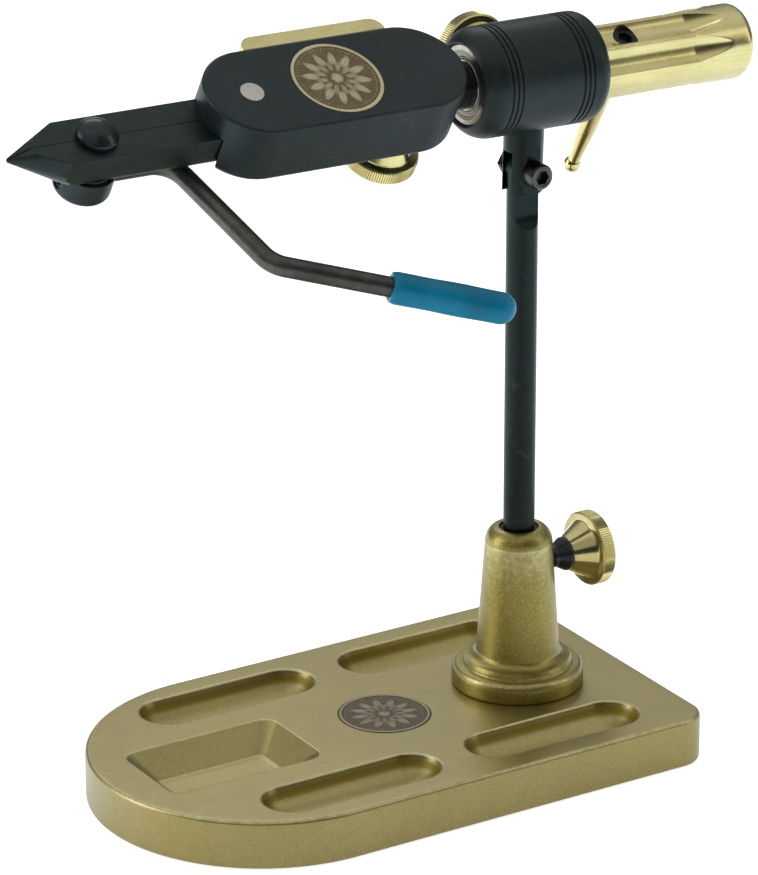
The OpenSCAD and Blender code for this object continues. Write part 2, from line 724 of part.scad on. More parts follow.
// Drag brake on the far side of the hub
module drag_frame() { hub_frame() rotate([-90, 0, 0]) children(); }
module drag_knob() { drag_frame() translate([0, 0, hub_d / 2 + drag_lift]) knob_brass(); }
module drag_stud() {
    z0 = spindle_d / 2 + spacer_wall + run_gap + shoe_l;
    color([0.3, 0.3, 0.3]) drag_frame() translate([0, 0, z0])
        cylinder(h = hub_d / 2 + drag_lift + stud_in_knob - z0, d = stud_d);
}
module drag_shoe() {
    color([0.85, 0.84, 0.78]) drag_frame() translate([0, 0, spindle_d / 2 + spacer_wall + run_gap])
        cylinder(h = shoe_l, d = stud_d);
}

// Spindle, handle and crank
module spindle() {
    x0 = head_x1 - spindle_in_head;
    color([0.13, 0.15, 0.16]) hub_frame() {
        along_x(x0) cylinder(h = handle_x0 + spindle_in_handle - x0, d = spindle_d);
        along_x(head_x1 + touch) cylinder(h = hub_x0 + bearing_inset - head_x1 - touch, d = shoulder_d);
    }
}
module flute_cut() {
    mill_r = flute_mill_d / 2;
    translate([0, 0, handle_d / 2 - flute_depth + mill_r]) along_x(handle_x0)
        rotate_extrude() polygon([[0, -over], [mill_r, -over], [mill_r, flute_l],
            [mill_r - flute_depth * flute_ramp_share, flute_l + flute_ramp_l],
            [0, flute_l + flute_ramp_l]]);
}
module handle_profile() {
    r = handle_d / 2;
    square([handle_l - handle_end_r, r]);
    square([handle_l, r - handle_end_r]);
    translate([handle_l - handle_end_r, r - handle_end_r]) difference() {
        circle(r = handle_end_r);
        translate([-handle_d, -handle_d]) square([2 * handle_d, handle_d]);
    }
}
module handle() {
    nose_l = handle_gap + bearing_inset;
    color([0.8, 0.7, 0.42]) head_frame() difference() {
        union() {
            along_x(handle_x0) rotate_extrude($fn = 96) rotate(90) mirror([0, 1]) handle_profile();
            along_x(handle_x0 - nose_l) cylinder(h = nose_l + over, d = handle_nose_d);
        }
        along_x(handle_x0 - nose_l - over)
            cylinder(h = over + nose_l + spindle_in_handle, d = spindle_d);
        for (side = [0, 180], i = [-1 : 1]) rotate([side + i * flute_pitch, 0, 0]) flute_cut();
        translate([handle_screw_x, 0, 0]) cylinder(h = handle_d, d = handle_screw_d);
        translate([handle_screw_x, 0, -handle_d]) {
            cylinder(h = handle_d, d = crank_shank_d);
            cylinder(h = handle_d - crank_seat, d = crank_d + 2 * run_gap);
        }
    }
}
module handle_screw() {
    color([0.1, 0.1, 0.11]) head_frame() translate([handle_screw_x, 0, spindle_d / 2]) difference() {
        cylinder(h = screw_stand, d = handle_screw_d);
        translate([0, 0, screw_stand / 2]) hex(handle_screw_hex, screw_stand);
    }
}
module crank_profile() {
    ball_r = crank_ball_d / 2;
    ball_z = crank_reach - ball_r;
    polygon(concat(
        [[0, spindle_d / 2], [crank_shank_d / 2, spindle_d / 2],
         [crank_shank_d / 2, crank_seat + touch], [crank_d / 2, crank_seat + touch],
         [crank_mid_d / 2, crank_mid_reach], [crank_low_d / 2, crank_low_reach],
         [crank_neck_d / 2, ball_z - ball_r - crank_neck_l]],
        [for (a = [-48 : 12 : 84]) [ball_r * cos(a), ball_z + ball_r * sin(a)]],
        [[0, crank_reach]]));
}
module crank() {
    color([0.8, 0.7, 0.42]) head_frame() translate([handle_screw_x, 0, 0]) rotate([180, 0, 0])
        rotate_extrude() crank_profile();
}

// Head
module head_blank() {
    for (x = [round_x, clamp_x]) translate([x, 0, -head_down])
        rotate_extrude($fn = 96) half_round_rect(head_r, head_up + head_down, head_edge_r);
    translate([0, 0, -head_down]) along_x(round_x) rotate([0, 0, 90])
        linear_extrude(clamp_x - round_x) round_rect(head_w, head_up + head_down, head_edge_r);
}
module head_housing() {
    slot_w = jaw_w + 2 * slot_side;
    slot_x1 = pin_x + tail_l + slot_end;
    color([0.18, 0.2, 0.21]) head_frame() difference() {
        head_blank();
        translate([head_x0 - over, -slot_w / 2, -jaw_down - slot_face])
            cube([slot_x1 - head_x0 + over, slot_w, jaw_up + jaw_down + 2 * slot_face]);
        translate([head_x0 - over, -slot_w / 2, -head_down - over])
            cube([pin_x - pin_d / 2 - chin_wall - head_x0 + over, slot_w, head_down + over]);
        along_x(head_x1 - spindle_in_head) cylinder(h = spindle_in_head + over, d = spindle_d);
        translate([pin_x, 0, pin_end - head_down]) cylinder(h = head_up + head_down, d = pin_d);
        translate([clamp_x, 0, -head_down - over])
            cylinder(h = head_down + over, d = stud_d + 2 * run_gap);
        translate([head_medal_x, 0, head_up - medal_floor]) cylinder(h = medal_t + over, d = medal_d);
        bar_places() translate([0, 0, -bar_screw_l - over])
            cylinder(h = bar_screw_l + 2 * over, d = bar_screw_d);
    }
}
module head_medallion() {
    color([0.55, 0.49, 0.34]) head_frame()
        translate([head_medal_x, 0, head_up - medal_floor]) medallion();
}
module jaw_pin() {
    color([0.82, 0.82, 0.8]) head_frame() translate([pin_x, 0, pin_end - head_down])
        cylinder(h = head_up + head_down - pin_end + pin_proud, d = pin_d);
}
// The places of the bar's screws, with z out of the head's far side
module bar_places() {
    for (s = [-1, 1])
        translate([bar_x + s * bar_screw_pitch / 2, head_r,
            head_up - bar_drop - bar_h / 2]) rotate([-90, 0, 0]) children();
}
module balance_bar() {
    color([0.78, 0.7, 0.44]) head_frame() difference() {
        translate([bar_x, head_r, head_up - bar_drop - bar_h]) linear_extrude(bar_h) {
            translate([-bar_l / 2, 0]) square([bar_l, bar_t - bar_corner_r]);
            translate([bar_corner_r - bar_l / 2, 0]) square([bar_l - 2 * bar_corner_r, bar_t]);
            for (s = [-1, 1]) translate([s * (bar_l / 2 - bar_corner_r), 0]) intersection() {
                translate([0, bar_t - bar_corner_r]) circle(r = bar_corner_r);
                translate([-bar_l, 0]) square([2 * bar_l, bar_t]);
            }
        }
        bar_places() {
            translate([0, 0, -over]) cylinder(h = bar_t + 2 * over, d = bar_screw_d);
            translate([0, 0, bar_t - bar_head_h]) cylinder(h = bar_head_h + over, d = bar_head_d);
        }
    }
}
module bar_screws() {
    color([0.2, 0.2, 0.2]) head_frame() bar_places() difference() {
        union() {
            translate([0, 0, -bar_screw_l]) cylinder(h = bar_screw_l + bar_t / 2, d = bar_screw_d);
            translate([0, 0, bar_t - bar_head_h]) cylinder(h = bar_head_h - touch, d = bar_head_d);
        }
        translate([0, 0, bar_t - bar_head_h / 2]) hex(bar_screw_hex, bar_head_h);
    }
}
module jaw_spring() {
    spring_l = tail_gap + 2 * (spring_pocket - spring_free);
    color([0.7, 0.7, 0.7]) head_frame()
        translate([pin_x + spring_back, -spring_l / 2, (jaw_up - jaw_down) / 2]) rotate([-90, 0, 0])
            tube(spring_l, spring_d, spring_d - 2 * spring_wire);
}
module head_knob_frame() {
    head_frame() translate([clamp_x, 0, -head_down]) rotate([180, 0, 0]) children();
}
module head_knob() { head_knob_frame() translate([0, 0, collar_l]) knob_brass(); }
module head_knob_collar() { head_knob_frame() translate([0, 0, collar_lift]) knob_collar(); }
module head_knob_stud() {
    z0 = spindle_d / 2 + run_gap - head_down;
    color([0.14, 0.16, 0.16]) head_knob_frame() translate([0, 0, z0])
        cylinder(h = collar_l + stud_in_knob - z0, d = stud_d);
}

// Jaws
module jaw_side() {
    rear = pin_x + tail_l;
    step_x = pin_x - eye_r - jaw_step_gap;
    rotate([90, 0, 0]) linear_extrude(2 * jaw_w, center = true)
        polygon([[tip_x, tip_t / 2], [tip_x + nose_bevel_l, jaw_up], [rear, jaw_up],
            [rear, -jaw_down], [step_x, -jaw_down], [step_x, -jaw_body_down],
            [tip_x, -jaw_body_down]]);
}
module jaw_nose() {
    nose_l = jaw_w / nose_slope_share;
    along_x(tip_x)
        cylinder(h = nose_l, r1 = tip_t / 2, r2 = tip_t / 2 + nose_l * nose_slope_share, $fn = 96);
    translate([tip_x + nose_l, -jaw_w, -jaw_w]) cube([jaw_reach + tail_l, 2 * jaw_w, 2 * jaw_w]);
}
// The jaw's cross-section along its whole length: upright at the top of its outer side, leaning in
// below that, and broken at the heel
module jaw_section(s) {
    out = jaw_w / 2;
    along_x(tip_x - over) rotate([0, 0, 90]) linear_extrude(jaw_reach + tail_l + 2 * over)
        polygon([[s * jaw_gap / 2, -jaw_w], [s * jaw_gap / 2, jaw_w], [s * out, jaw_w],
            [s * out, jaw_up - side_h], [s * (out - side_lean), heel_h - jaw_body_down],
            [s * (out - side_lean - heel_w), -jaw_body_down],
            [s * (out - side_lean - heel_w), -jaw_w]]);
}
// One jaw on side s, -1 near and 1 far, whose eye fills the upper or lower half of the hinge
module jaw(s, upper) {
    mid = (jaw_up - jaw_down) / 2;
    eye_lo = upper ? mid + lap_gap / 2 : -jaw_down;
    eye_hi = upper ? jaw_up : mid - lap_gap / 2;
    gap_lo = upper ? -jaw_down - over : mid - lap_gap / 2;
    gap_hi = upper ? mid + lap_gap / 2 : jaw_up + over;
    difference() {
        union() {
            difference() {
                intersection() {
                    jaw_side();
                    jaw_nose();
                    jaw_section(s);
                }
                translate([pin_x, 0, gap_lo]) cylinder(h = gap_hi - gap_lo, r = eye_r + lap_side);
                translate([pin_x, -tail_gap / 2, -jaw_w]) cube([tail_l + over, tail_gap, 2 * jaw_w]);
            }
            translate([pin_x, 0, eye_lo]) cylinder(h = eye_hi - eye_lo, r = eye_r);
        }
        translate([pin_x, 0, -jaw_w]) cylinder(h = 2 * jaw_w, d = pin_d + 2 * run_gap);
        intersection() {
            translate([cam_x, 0, -jaw_w])
                cylinder(h = 2 * jaw_w, d = cam_d + 2 * cam_end_gap);
            translate([cam_x - cam_d, -cam_flat_t / 2 - cam_flat_gap, -jaw_w])
                cube([2 * cam_d, cam_flat_t + 2 * cam_flat_gap, 2 * jaw_w]);
        }
        translate([pin_x + spring_back, s * (tail_gap / 2 - over), mid]) rotate([-90 * s, 0, 0])
            cylinder(h = over + spring_pocket, d = spring_d + 4 * touch);
    }
}
module near_jaw() { color([0.17, 0.2, 0.2]) head_frame() jaw(-1, true); }
module far_jaw() { color([0.17, 0.2, 0.2]) head_frame() jaw(1, false); }

// Cam lever
module cam_frame() { head_frame() translate([cam_x, 0, 0]) children(); }
// From the cam hub's upper face, or lower by a given height
module cam_hub_z(drop = 0) {
    translate([0, 0, -jaw_body_down - touch - washer_t - drop]) children();
}
module cam_post() {
    low = jaw_body_down + touch + washer_t + cam_hub_h - cam_hub_edge_r;
    dome_r = (pow(button_d / 2, 2) + pow(button_dome, 2)) / (2 * button_dome);
    color([0.2, 0.23, 0.23]) cam_frame() {
        intersection() {
            translate([0, 0, -low]) cylinder(h = low + jaw_up + 2 * touch, d = cam_d);
            translate([-cam_d, -cam_flat_t / 2, -low]) cube([2 * cam_d, cam_flat_t, 2 * low]);
        }
        translate([0, 0, jaw_up + touch]) {
            cylinder(h = button_rim, d = button_d);
            translate([0, 0, button_rim]) intersection() {
                translate([0, 0, button_dome - dome_r]) sphere(r = dome_r, $fn = 96);
                cylinder(h = button_d, d = button_d);
            }
        }
    }
}
module cam_bore(l) {
    intersection() {
        cylinder(h = l, d = cam_d);
        translate([-cam_d, -cam_flat_t / 2, 0]) cube([2 * cam_d, cam_flat_t, l]);
    }
}
module cam_washer() {
    color([0.45, 0.45, 0.44]) cam_frame() cam_hub_z() difference() {
        cylinder(h = washer_t, d = washer_d);
        translate([0, 0, -over]) cylinder(h = washer_t + 2 * over, d = cam_d + 2 * run_gap);
    }
}
module cam_hub() {
    r = cam_hub_d / 2;
    color([0.2, 0.23, 0.24]) cam_frame() cam_hub_z(cam_hub_h) difference() {
        rotate_extrude($fn = 96) {
            translate([0, cam_hub_edge_r]) square([r, cam_hub_h - cam_hub_edge_r]);
            square([r - cam_hub_edge_r, cam_hub_h]);
            translate([r - cam_hub_edge_r, cam_hub_edge_r]) circle(r = cam_hub_edge_r);
        }
        translate([0, 0, cam_hub_edge_r]) cam_bore(cam_hub_h);
        rod_level() rotate([0, 0, -rod_angles[0]]) along_x(rod_start) cylinder(h = cam_hub_d, d = rod_d);
        rod_level() along_x(-cam_hub_d) cylinder(h = cam_hub_d, d = cam_screw_d);
    }
}
// The height of the rod's middle, from the foot of the cam hub
module rod_level() {
    translate([0, 0, jaw_body_down + touch + washer_t + cam_hub_h - rod_drop]) children();
}
module cam_screw() {
    color([0.12, 0.12, 0.13]) cam_frame() translate([0, 0, -rod_drop]) rotate([0, -90, 0])
        translate([0, 0, cam_d / 2]) difference() {
            cylinder(h = cam_screw_l, d = cam_screw_d);
            translate([0, 0, cam_screw_l / 2]) hex(cam_screw_hex, cam_screw_l);
        }
}
// Distance of a bend's ends from its corner, when it turns by this angle
function cut_back(turn) = rod_bend_r * tan(turn / 2);
// A bend that starts along +X at the origin and turns towards -Y
module rod_bend(turn) {
    translate([0, -rod_bend_r, 0]) rotate([0, 0, 90 - turn])
        rotate_extrude(angle = turn, $fn = 96) translate([rod_bend_r, 0])
            circle(r = rod_d / 2 + rod_swell, $fn = 32);
}
module rod_straight(from, to) { along_x(from) cylinder(h = to - from, d = rod_d); }
module at_corner_a() {
    rotate([0, 0, -rod_angles[0]]) translate([rod_a_l, 0, 0]) children();
}
module at_corner_b() {
    at_corner_a() rotate([0, 0, -turn_a]) translate([rod_b_l, 0, 0]) children();
}
module lever_rod() {
    back_a = cut_back(turn_a) - rod_lap;
    back_b = cut_back(turn_b) - rod_lap;
    color([0.22, 0.23, 0.22]) cam_frame() translate([0, 0, -rod_drop]) {
        rotate([0, 0, -rod_angles[0]]) rod_straight(rod_start, rod_a_l - back_a);
        at_corner_a() {
            translate([-cut_back(turn_a), 0, 0]) rod_bend(turn_a);
            rotate([0, 0, -turn_a]) rod_straight(back_a, rod_b_l - back_b);
        }
        at_corner_b() {
            translate([-cut_back(turn_b), 0, 0]) mirror([0, 1, 0]) rod_bend(turn_b);
            rotate([0, 0, turn_b]) rod_straight(back_b, rod_c_l - grip_wall_end);
        }
    }
}
module lever_grip() {
    r = grip_d / 2;
    color([0.08, 0.45, 0.58]) cam_frame() translate([0, 0, -rod_drop]) at_corner_b()
        rotate([0, 0, turn_b]) along_x(rod_c_l - grip_l) difference() {
            union() {
                cylinder(h = grip_l - r, d = grip_d);
                translate([0, 0, grip_l - r]) sphere(r = r);
            }
            translate([0, 0, -over]) cylinder(h = grip_l - grip_wall_end + over, d = rod_d);
        }
}

base_plate();
base_medallion();
stem_socket();
base_screws();
stem_sleeve();
stem();
stem_knob();
stem_knob_stud();
stem_knob_collar();
elbow_clevis();
elbow_screw();
elbow_nut();
hub_housing();
front_outer_race();
rear_outer_race();
front_shields();
rear_shields();
bearing_balls();
bearing_cages();
front_inner_race();
rear_inner_race();
spacer_tube();
drag_knob();
drag_stud();
drag_shoe();
spindle();
handle();
handle_screw();
crank();
head_housing();
head_medallion();
jaw_pin();
balance_bar();
bar_screws();
jaw_spring();
head_knob();
head_knob_stud();
head_knob_collar();
near_jaw();
far_jaw();
cam_post();
cam_washer();
cam_hub();
cam_screw();
lever_rod();
lever_grip();
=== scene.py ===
# A rotary fly tying vise on a pocket base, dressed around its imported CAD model.
# Sizes in the dictionaries are millimetres; every mesh is written in metres.
import json
import math
import bmesh
import bpy
import numpy as np
from mathutils import Matrix, Vector
from mathutils.geometry import delaunay_2d_cdt


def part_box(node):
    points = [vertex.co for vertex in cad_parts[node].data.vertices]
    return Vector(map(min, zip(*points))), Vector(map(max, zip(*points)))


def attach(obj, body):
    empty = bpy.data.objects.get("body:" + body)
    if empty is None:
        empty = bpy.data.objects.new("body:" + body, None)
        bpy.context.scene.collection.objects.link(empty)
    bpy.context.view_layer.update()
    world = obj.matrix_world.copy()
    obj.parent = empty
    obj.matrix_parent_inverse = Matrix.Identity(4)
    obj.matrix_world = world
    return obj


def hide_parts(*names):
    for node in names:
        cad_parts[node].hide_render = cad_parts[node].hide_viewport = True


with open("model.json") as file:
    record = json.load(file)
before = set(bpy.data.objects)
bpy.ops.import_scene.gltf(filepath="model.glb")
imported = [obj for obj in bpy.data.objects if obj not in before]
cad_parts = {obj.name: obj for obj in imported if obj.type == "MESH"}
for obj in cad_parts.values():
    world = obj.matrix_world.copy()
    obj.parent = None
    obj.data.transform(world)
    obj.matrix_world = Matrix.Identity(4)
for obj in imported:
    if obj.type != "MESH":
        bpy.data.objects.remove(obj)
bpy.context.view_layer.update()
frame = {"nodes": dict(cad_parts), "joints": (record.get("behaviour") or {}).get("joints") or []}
print("frame loaded:", len(frame["nodes"]), "nodes")

mm = 0.001
joint = {j["name"]: j for j in frame["joints"]}

# A place is an origin in metres and three unit axes; a piece's points are written in it in millimetres.
along = np.array(joint["head_spin"]["axis"])
faceOut = np.array(joint["lever_squeeze"]["axis"])
hubMiddle = np.array(joint["head_spin"]["pos_m"])
sideways = np.array([0.0, 1.0, 0.0])


def placeAt(origin, x, y, z):
    return np.array(origin, float), np.stack([x, y, z], 1)


# The same axes at origin + axes * offset, the offset in millimetres
def moved(place, offset):
    return place[0] + place[1] @ np.array(offset, float) * mm, place[1]


basePlace = placeAt((0, 0, 0), *np.eye(3))
hubPlace = placeAt(hubMiddle, along, sideways, np.cross(along, sideways))
headPlace = placeAt(hubMiddle, along, np.cross(faceOut, along), faceOut)


# The same place with its z axis laid along another of its directions
def facing(place, name):
    x, y, z = place[1].T
    turnedAxes = {"x": (y, z, x), "y": (z, x, y), "-y": (x, z, -y), "-z": (x, -y, -z)}[name]
    return place[0], np.stack(turnedAxes, 1)


# Angles evenly round a circle
def around(count):
    return np.linspace(0, 2 * math.pi, count, endpoint=False)


# A bell curve over x: exp(-((x - middle) / width)^2)
def bell(x, middle, width):
    return np.exp(-((x - middle) / width) ** 2)


# Faces of a grid with rows x cols points, joined round its columns and, where closed, its rows
def gridFaces(rows, cols, closed=False):
    i, j = np.meshgrid(np.arange(rows if closed else rows - 1), np.arange(cols), indexing="ij")
    i, j = i.ravel(), j.ravel()
    i2, j2 = (i + 1) % rows, (j + 1) % cols
    return np.stack([i * cols + j, i * cols + j2, i2 * cols + j2, i2 * cols + j], 1)


# A broken line whose corners (x, y, radius) become arcs that touch both neighbours:
# the arc's middle lies on the corner's bisector, radius / sin(half angle) away
def roundedLine(corners, steps=5):
    p = np.array([c[:2] for c in corners], float)
    out = [p[:1]]
    for i in range(1, len(p) - 1):
        r = corners[i][2] if len(corners[i]) > 2 else 0
        a, b = p[i - 1] - p[i], p[i + 1] - p[i]
        a, b = a / np.linalg.norm(a), b / np.linalg.norm(b)
        half = math.acos(np.clip(a @ b, -1, 1)) / 2
        if r == 0 or half > 1.55:
            out.append(p[i:i + 1])
            continue
        middle = p[i] + (a + b) / np.linalg.norm(a + b) * r / math.sin(half)
        start, stop = p[i] + a * r / math.tan(half) - middle, p[i] + b * r / math.tan(half) - middle
        t = np.linspace(0, 1, steps + 1)[:, None]
        full = math.pi - 2 * half
        arc = (np.sin((1 - t) * full) * start + np.sin(t * full) * stop) / math.sin(full)
        out.append(middle + arc)
    out.append(p[-1:])
    return np.concatenate(out)


# Surface of revolution round z: point(a, f) = (r(a) cos f, r(a) sin f, z(a)). shift(r, z, f) may
# change its radii and heights. A closed profile joins its last point to its first.
def turned(profile, count=128, closed=False, shift=None):
    f = around(count)[None, :]
    r, z = profile[:, :1] + 0 * f, profile[:, 1:2] + 0 * f
    if shift is not None:
        r, z = shift(r, z, f)
    points = np.stack([r * np.cos(f), r * np.sin(f), z], -1).reshape(-1, 3)
    return points, gridFaces(len(profile), count, closed)


# Closed outline through arcs (cx, cy, radius, from, to, count) in degrees, each inset by the same
# amount, with the straights between them cut into equal steps: point = centre + (radius - inset) (cos, sin)
def outline(arcs, inset=0.0, straights=10):
    out = []
    for k, (cx, cy, r, a0, a1, n) in enumerate(arcs):
        a = np.radians(np.linspace(a0, a1, n))
        arc = np.array([cx, cy]) + (r - inset) * np.stack([np.cos(a), np.sin(a)], 1)
        out.append(arc)
        nx, ny, nr, b0 = arcs[(k + 1) % len(arcs)][:4]
        b = math.radians(b0)
        nextPoint = np.array([nx, ny]) + (nr - inset) * np.array([math.cos(b), math.sin(b)])
        t = np.linspace(0, 1, straights + 1)[1:-1, None]
        out.append(arc[-1] + (nextPoint - arc[-1]) * t)
    return np.concatenate(out)


# A wall from flat rings of points, ring k at heights[k]
def stacked(rings, heights):
    rings = [np.c_[ring, np.full(len(ring), z)] for ring, z in zip(rings, heights)]
    return np.concatenate(rings), gridFaces(len(rings), len(rings[0]))


# Which points lie inside a closed ring: an odd number of its sides is crossed on the way out
def inRing(points, ring):
    a, b = ring[None, :, :], np.roll(ring, -1, axis=0)[None, :, :]
    x, y = points[:, None, 0], points[:, None, 1]
    spans = (a[..., 1] > y) != (b[..., 1] > y)
    rise = np.where(b[..., 1] == a[..., 1], 1.0, b[..., 1] - a[..., 1])
    return (spans & (x < a[..., 0] + (y - a[..., 1]) * (b[..., 0] - a[..., 0]) / rise)).sum(1) % 2 == 1


# Flat sheet at height z inside one outline and outside the others, as Delaunay triangles
def flatSheet(outer, holes, z):
    rings = [outer] + list(holes)
    points = np.concatenate(rings)
    edges, start = [], 0
    for ring in rings:
        k = np.arange(len(ring))
        edges += (np.stack([k, (k + 1) % len(ring)], 1) + start).tolist()
        start += len(ring)
    flat, _, faces = delaunay_2d_cdt([Vector(p) for p in points], edges, [], 2, 1e-7)[:3]
    flat = np.array([tuple(v) for v in flat])
    faces = np.array(faces)
    middles = flat[faces].mean(1)
    keep = inRing(middles, outer)
    for ring in holes:
        keep &= ~inRing(middles, ring)
    return np.c_[flat, np.full(len(flat), z)], faces[keep]


# Closes a tube of n columns with a face over its first ring and one over its last
def capped(points, faces, n):
    return points, faces.tolist() + [list(range(n)), list(range(len(points) - n, len(points)))]


# A round section carried along a path in the plane z = level: centre + r (cos f side + sin f up), its ends closed
def sweptRound(path, r, level, count):
    tangent = np.gradient(path, axis=0)
    tangent /= np.linalg.norm(tangent, axis=1)[:, None]
    side = np.stack([-tangent[:, 1], tangent[:, 0]], 1)
    f = around(count)
    xy = path[:, None, :] + (r * np.cos(f))[None, :, None] * side[:, None, :]
    z = np.broadcast_to(level + r * np.sin(f), (len(path), count))
    return capped(np.concatenate([xy, z[..., None]], -1).reshape(-1, 3), gridFaces(len(path), count), count)


# Upright prism on an outline
def prism(ring, z0, z1):
    return capped(*stacked([ring, ring], [z0, z1]), len(ring))


# Points at (x + r cos f, y + r sin f)
def circle(r, count=96, x=0.0, y=0.0):
    f = around(count)
    return np.stack([x + r * np.cos(f), y + r * np.sin(f)], 1)


def rectangle(x0, x1, y0, y1):
    return np.array([[x0, y0], [x1, y0], [x1, y1], [x0, y1]], float)


# Several parts (points, faces, wear and painted light marks) as one; a part without marks counts as unmarked
def joined(parts):
    points, faces, marks, start = [], [], [], 0
    for part in parts:
        p, f = part[0], part[1]
        points.append(p)
        faces += [[start + i for i in face] for face in (f.tolist() if hasattr(f, "tolist") else f)]
        marks.append(part[2] if len(part) > 2 else np.zeros(len(p)))
        start += len(p)
    return np.concatenate(points), faces, np.concatenate(marks)


# Writes a mesh from parts (points in millimetres, faces, wear and painted light marks), closes its seams and turns
# it outwards
def writeMesh(name, parts, place):
    points, faces, marks = joined(parts)
    me = bpy.data.meshes.new(name)
    me.from_pydata((place[0] + points * mm @ place[1].T).tolist(), [], faces)
    # the per-point mark: rubbed wear and painted highlight on rims above 0, painted shade below 0
    me.attributes.new("wearAndPaintedLight", "FLOAT", "POINT").data.foreach_set("value", marks.astype(np.float32))
    closeMesh(me)
    return me


# Merges points closer than two micrometres, joins flat neighbours if asked, and turns all faces outwards
def closeMesh(me, flatten=False):
    bm = bmesh.new()
    bm.from_mesh(me)
    bmesh.ops.remove_doubles(bm, verts=bm.verts, dist=2e-6)
    if flatten:
        bmesh.ops.dissolve_limit(bm, angle_limit=math.radians(0.15), verts=bm.verts, edges=bm.edges)
    bmesh.ops.recalc_face_normals(bm, faces=bm.faces)
    bm.to_mesh(me)
    bm.free()


def newObject(name, data):
    o = bpy.data.objects.new(name, data)
    bpy.context.scene.collection.objects.link(o)
    return o


softEdge = {"steps": 3, "fromAngle": 35}


# Cuts, softens and shades a mesh through modifiers, and returns the result as a plain mesh
def finished(me, cutters, place, soft, sharpAngle, clamp=True):
    o = newObject("blank", me)
    me.shade_smooth()
    me.set_sharp_from_angle(angle=math.radians(sharpAngle))
    tools = []
    for cutter in cutters:
        tool = newObject("cutter", writeMesh("cutter", cutter, place))
        cut = o.modifiers.new("cut", "BOOLEAN")
        cut.operation, cut.solver, cut.object = "DIFFERENCE", "EXACT", tool
        tools.append(tool)
    if soft:
        bevel = o.modifiers.new("soft", "BEVEL")
        bevel.width, bevel.segments, bevel.limit_method = soft * mm, softEdge["steps"], "ANGLE"
        bevel.angle_limit, bevel.use_clamp_overlap = math.radians(softEdge["fromAngle"]), clamp
        bevel.miter_outer = "MITER_ARC"
    weighted = o.modifiers.new("weighted", "WEIGHTED_NORMAL")
    weighted.keep_sharp, weighted.weight = True, 50
    graph = bpy.context.evaluated_depsgraph_get()
    result = bpy.data.meshes.new_from_object(o.evaluated_get(graph))
    for spare in tools + [o]:
        bpy.data.objects.remove(spare)
    return result


# Gives a finished mesh its name, body and finish, and lets it stand for its CAD node
def settle(name, me, body, look, node):
    me.name = name
    me.materials.clear()
    me.materials.append(looks[look])
    o = newObject(name, me)
    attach(o, body)
    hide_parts(node)


def makePiece(name, parts, place, body, look, slot, node, cutters=(), soft=0.0, sharpAngle=40):
    me = finished(writeMesh(name, parts, place), cutters, place, soft, sharpAngle)
    settle(name, me, body, look, node)


# A CAD node's own shape with its edges broken: a merged copy, its flat faces joined, then a bevel.
# Where a ceiling is given, no point of the copy stands above it.
def softCopy(name, node, body, look, soft, clamp=True, ceiling=None):
    me = frame["nodes"][node].data.copy()
    if ceiling:
        spots = np.empty(len(me.vertices) * 3, np.float32)
        me.vertices.foreach_get("co", spots)
        spots[2::3] = np.minimum(spots[2::3], ceiling * mm)
        me.vertices.foreach_set("co", spots)
    if me.has_custom_normals:
        with bpy.context.temp_override():
            me.normals_split_custom_set([(0, 0, 0)] * len(me.loops))
    closeMesh(me, flatten=True)
    settle(name, finished(me, (), basePlace, soft, 40, clamp), body, look, node)


# Wraps one socket of a node tree: operators on it add Math nodes, and node() adds any other node
class Wire:
    def __init__(self, tree, socket=None):
        self.tree, self.socket = tree, socket

    # settings are set first, then the sockets' values or links; out names the socket that comes back
    def node(self, kind, settings=None, sockets=None, out=0):
        made = self.tree.nodes.new(kind)
        for key, value in (settings or {}).items():
            setattr(made, key, value)
        for key, value in (sockets or {}).items():
            if isinstance(value, Wire):
                self.tree.links.new(value.socket, made.inputs[key])
            else:
                made.inputs[key].default_value = value
        return Wire(self.tree, made.outputs[out])

    def math(self, operation, *values):
        return self.node("ShaderNodeMath", {"operation": operation}, dict(enumerate(values)))

    def __add__(self, other): return self.math("ADD", self, other)
    def __sub__(self, other): return self.math("SUBTRACT", self, other)
    def __rsub__(self, other): return self.math("SUBTRACT", other, self)
    def __mul__(self, other): return self.math("MULTIPLY", self, other)
    __radd__, __rmul__ = __add__, __mul__

    # a smooth step from 0 to 1 between two values
    def step(self, low, high):
        return self.node("ShaderNodeMapRange", {"interpolation_type": "SMOOTHSTEP"},
                         {"Value": self, "From Min": low, "From Max": high})

    # this wire as the factor between two colours
    def blend(self, a, b):
        a, b = [c if isinstance(c, Wire) else (*c, 1) for c in (a, b)]
        return self.node("ShaderNodeMix", {"data_type": "RGBA", "clamp_factor": True}, {0: self, 6: a, 7: b}, 2)
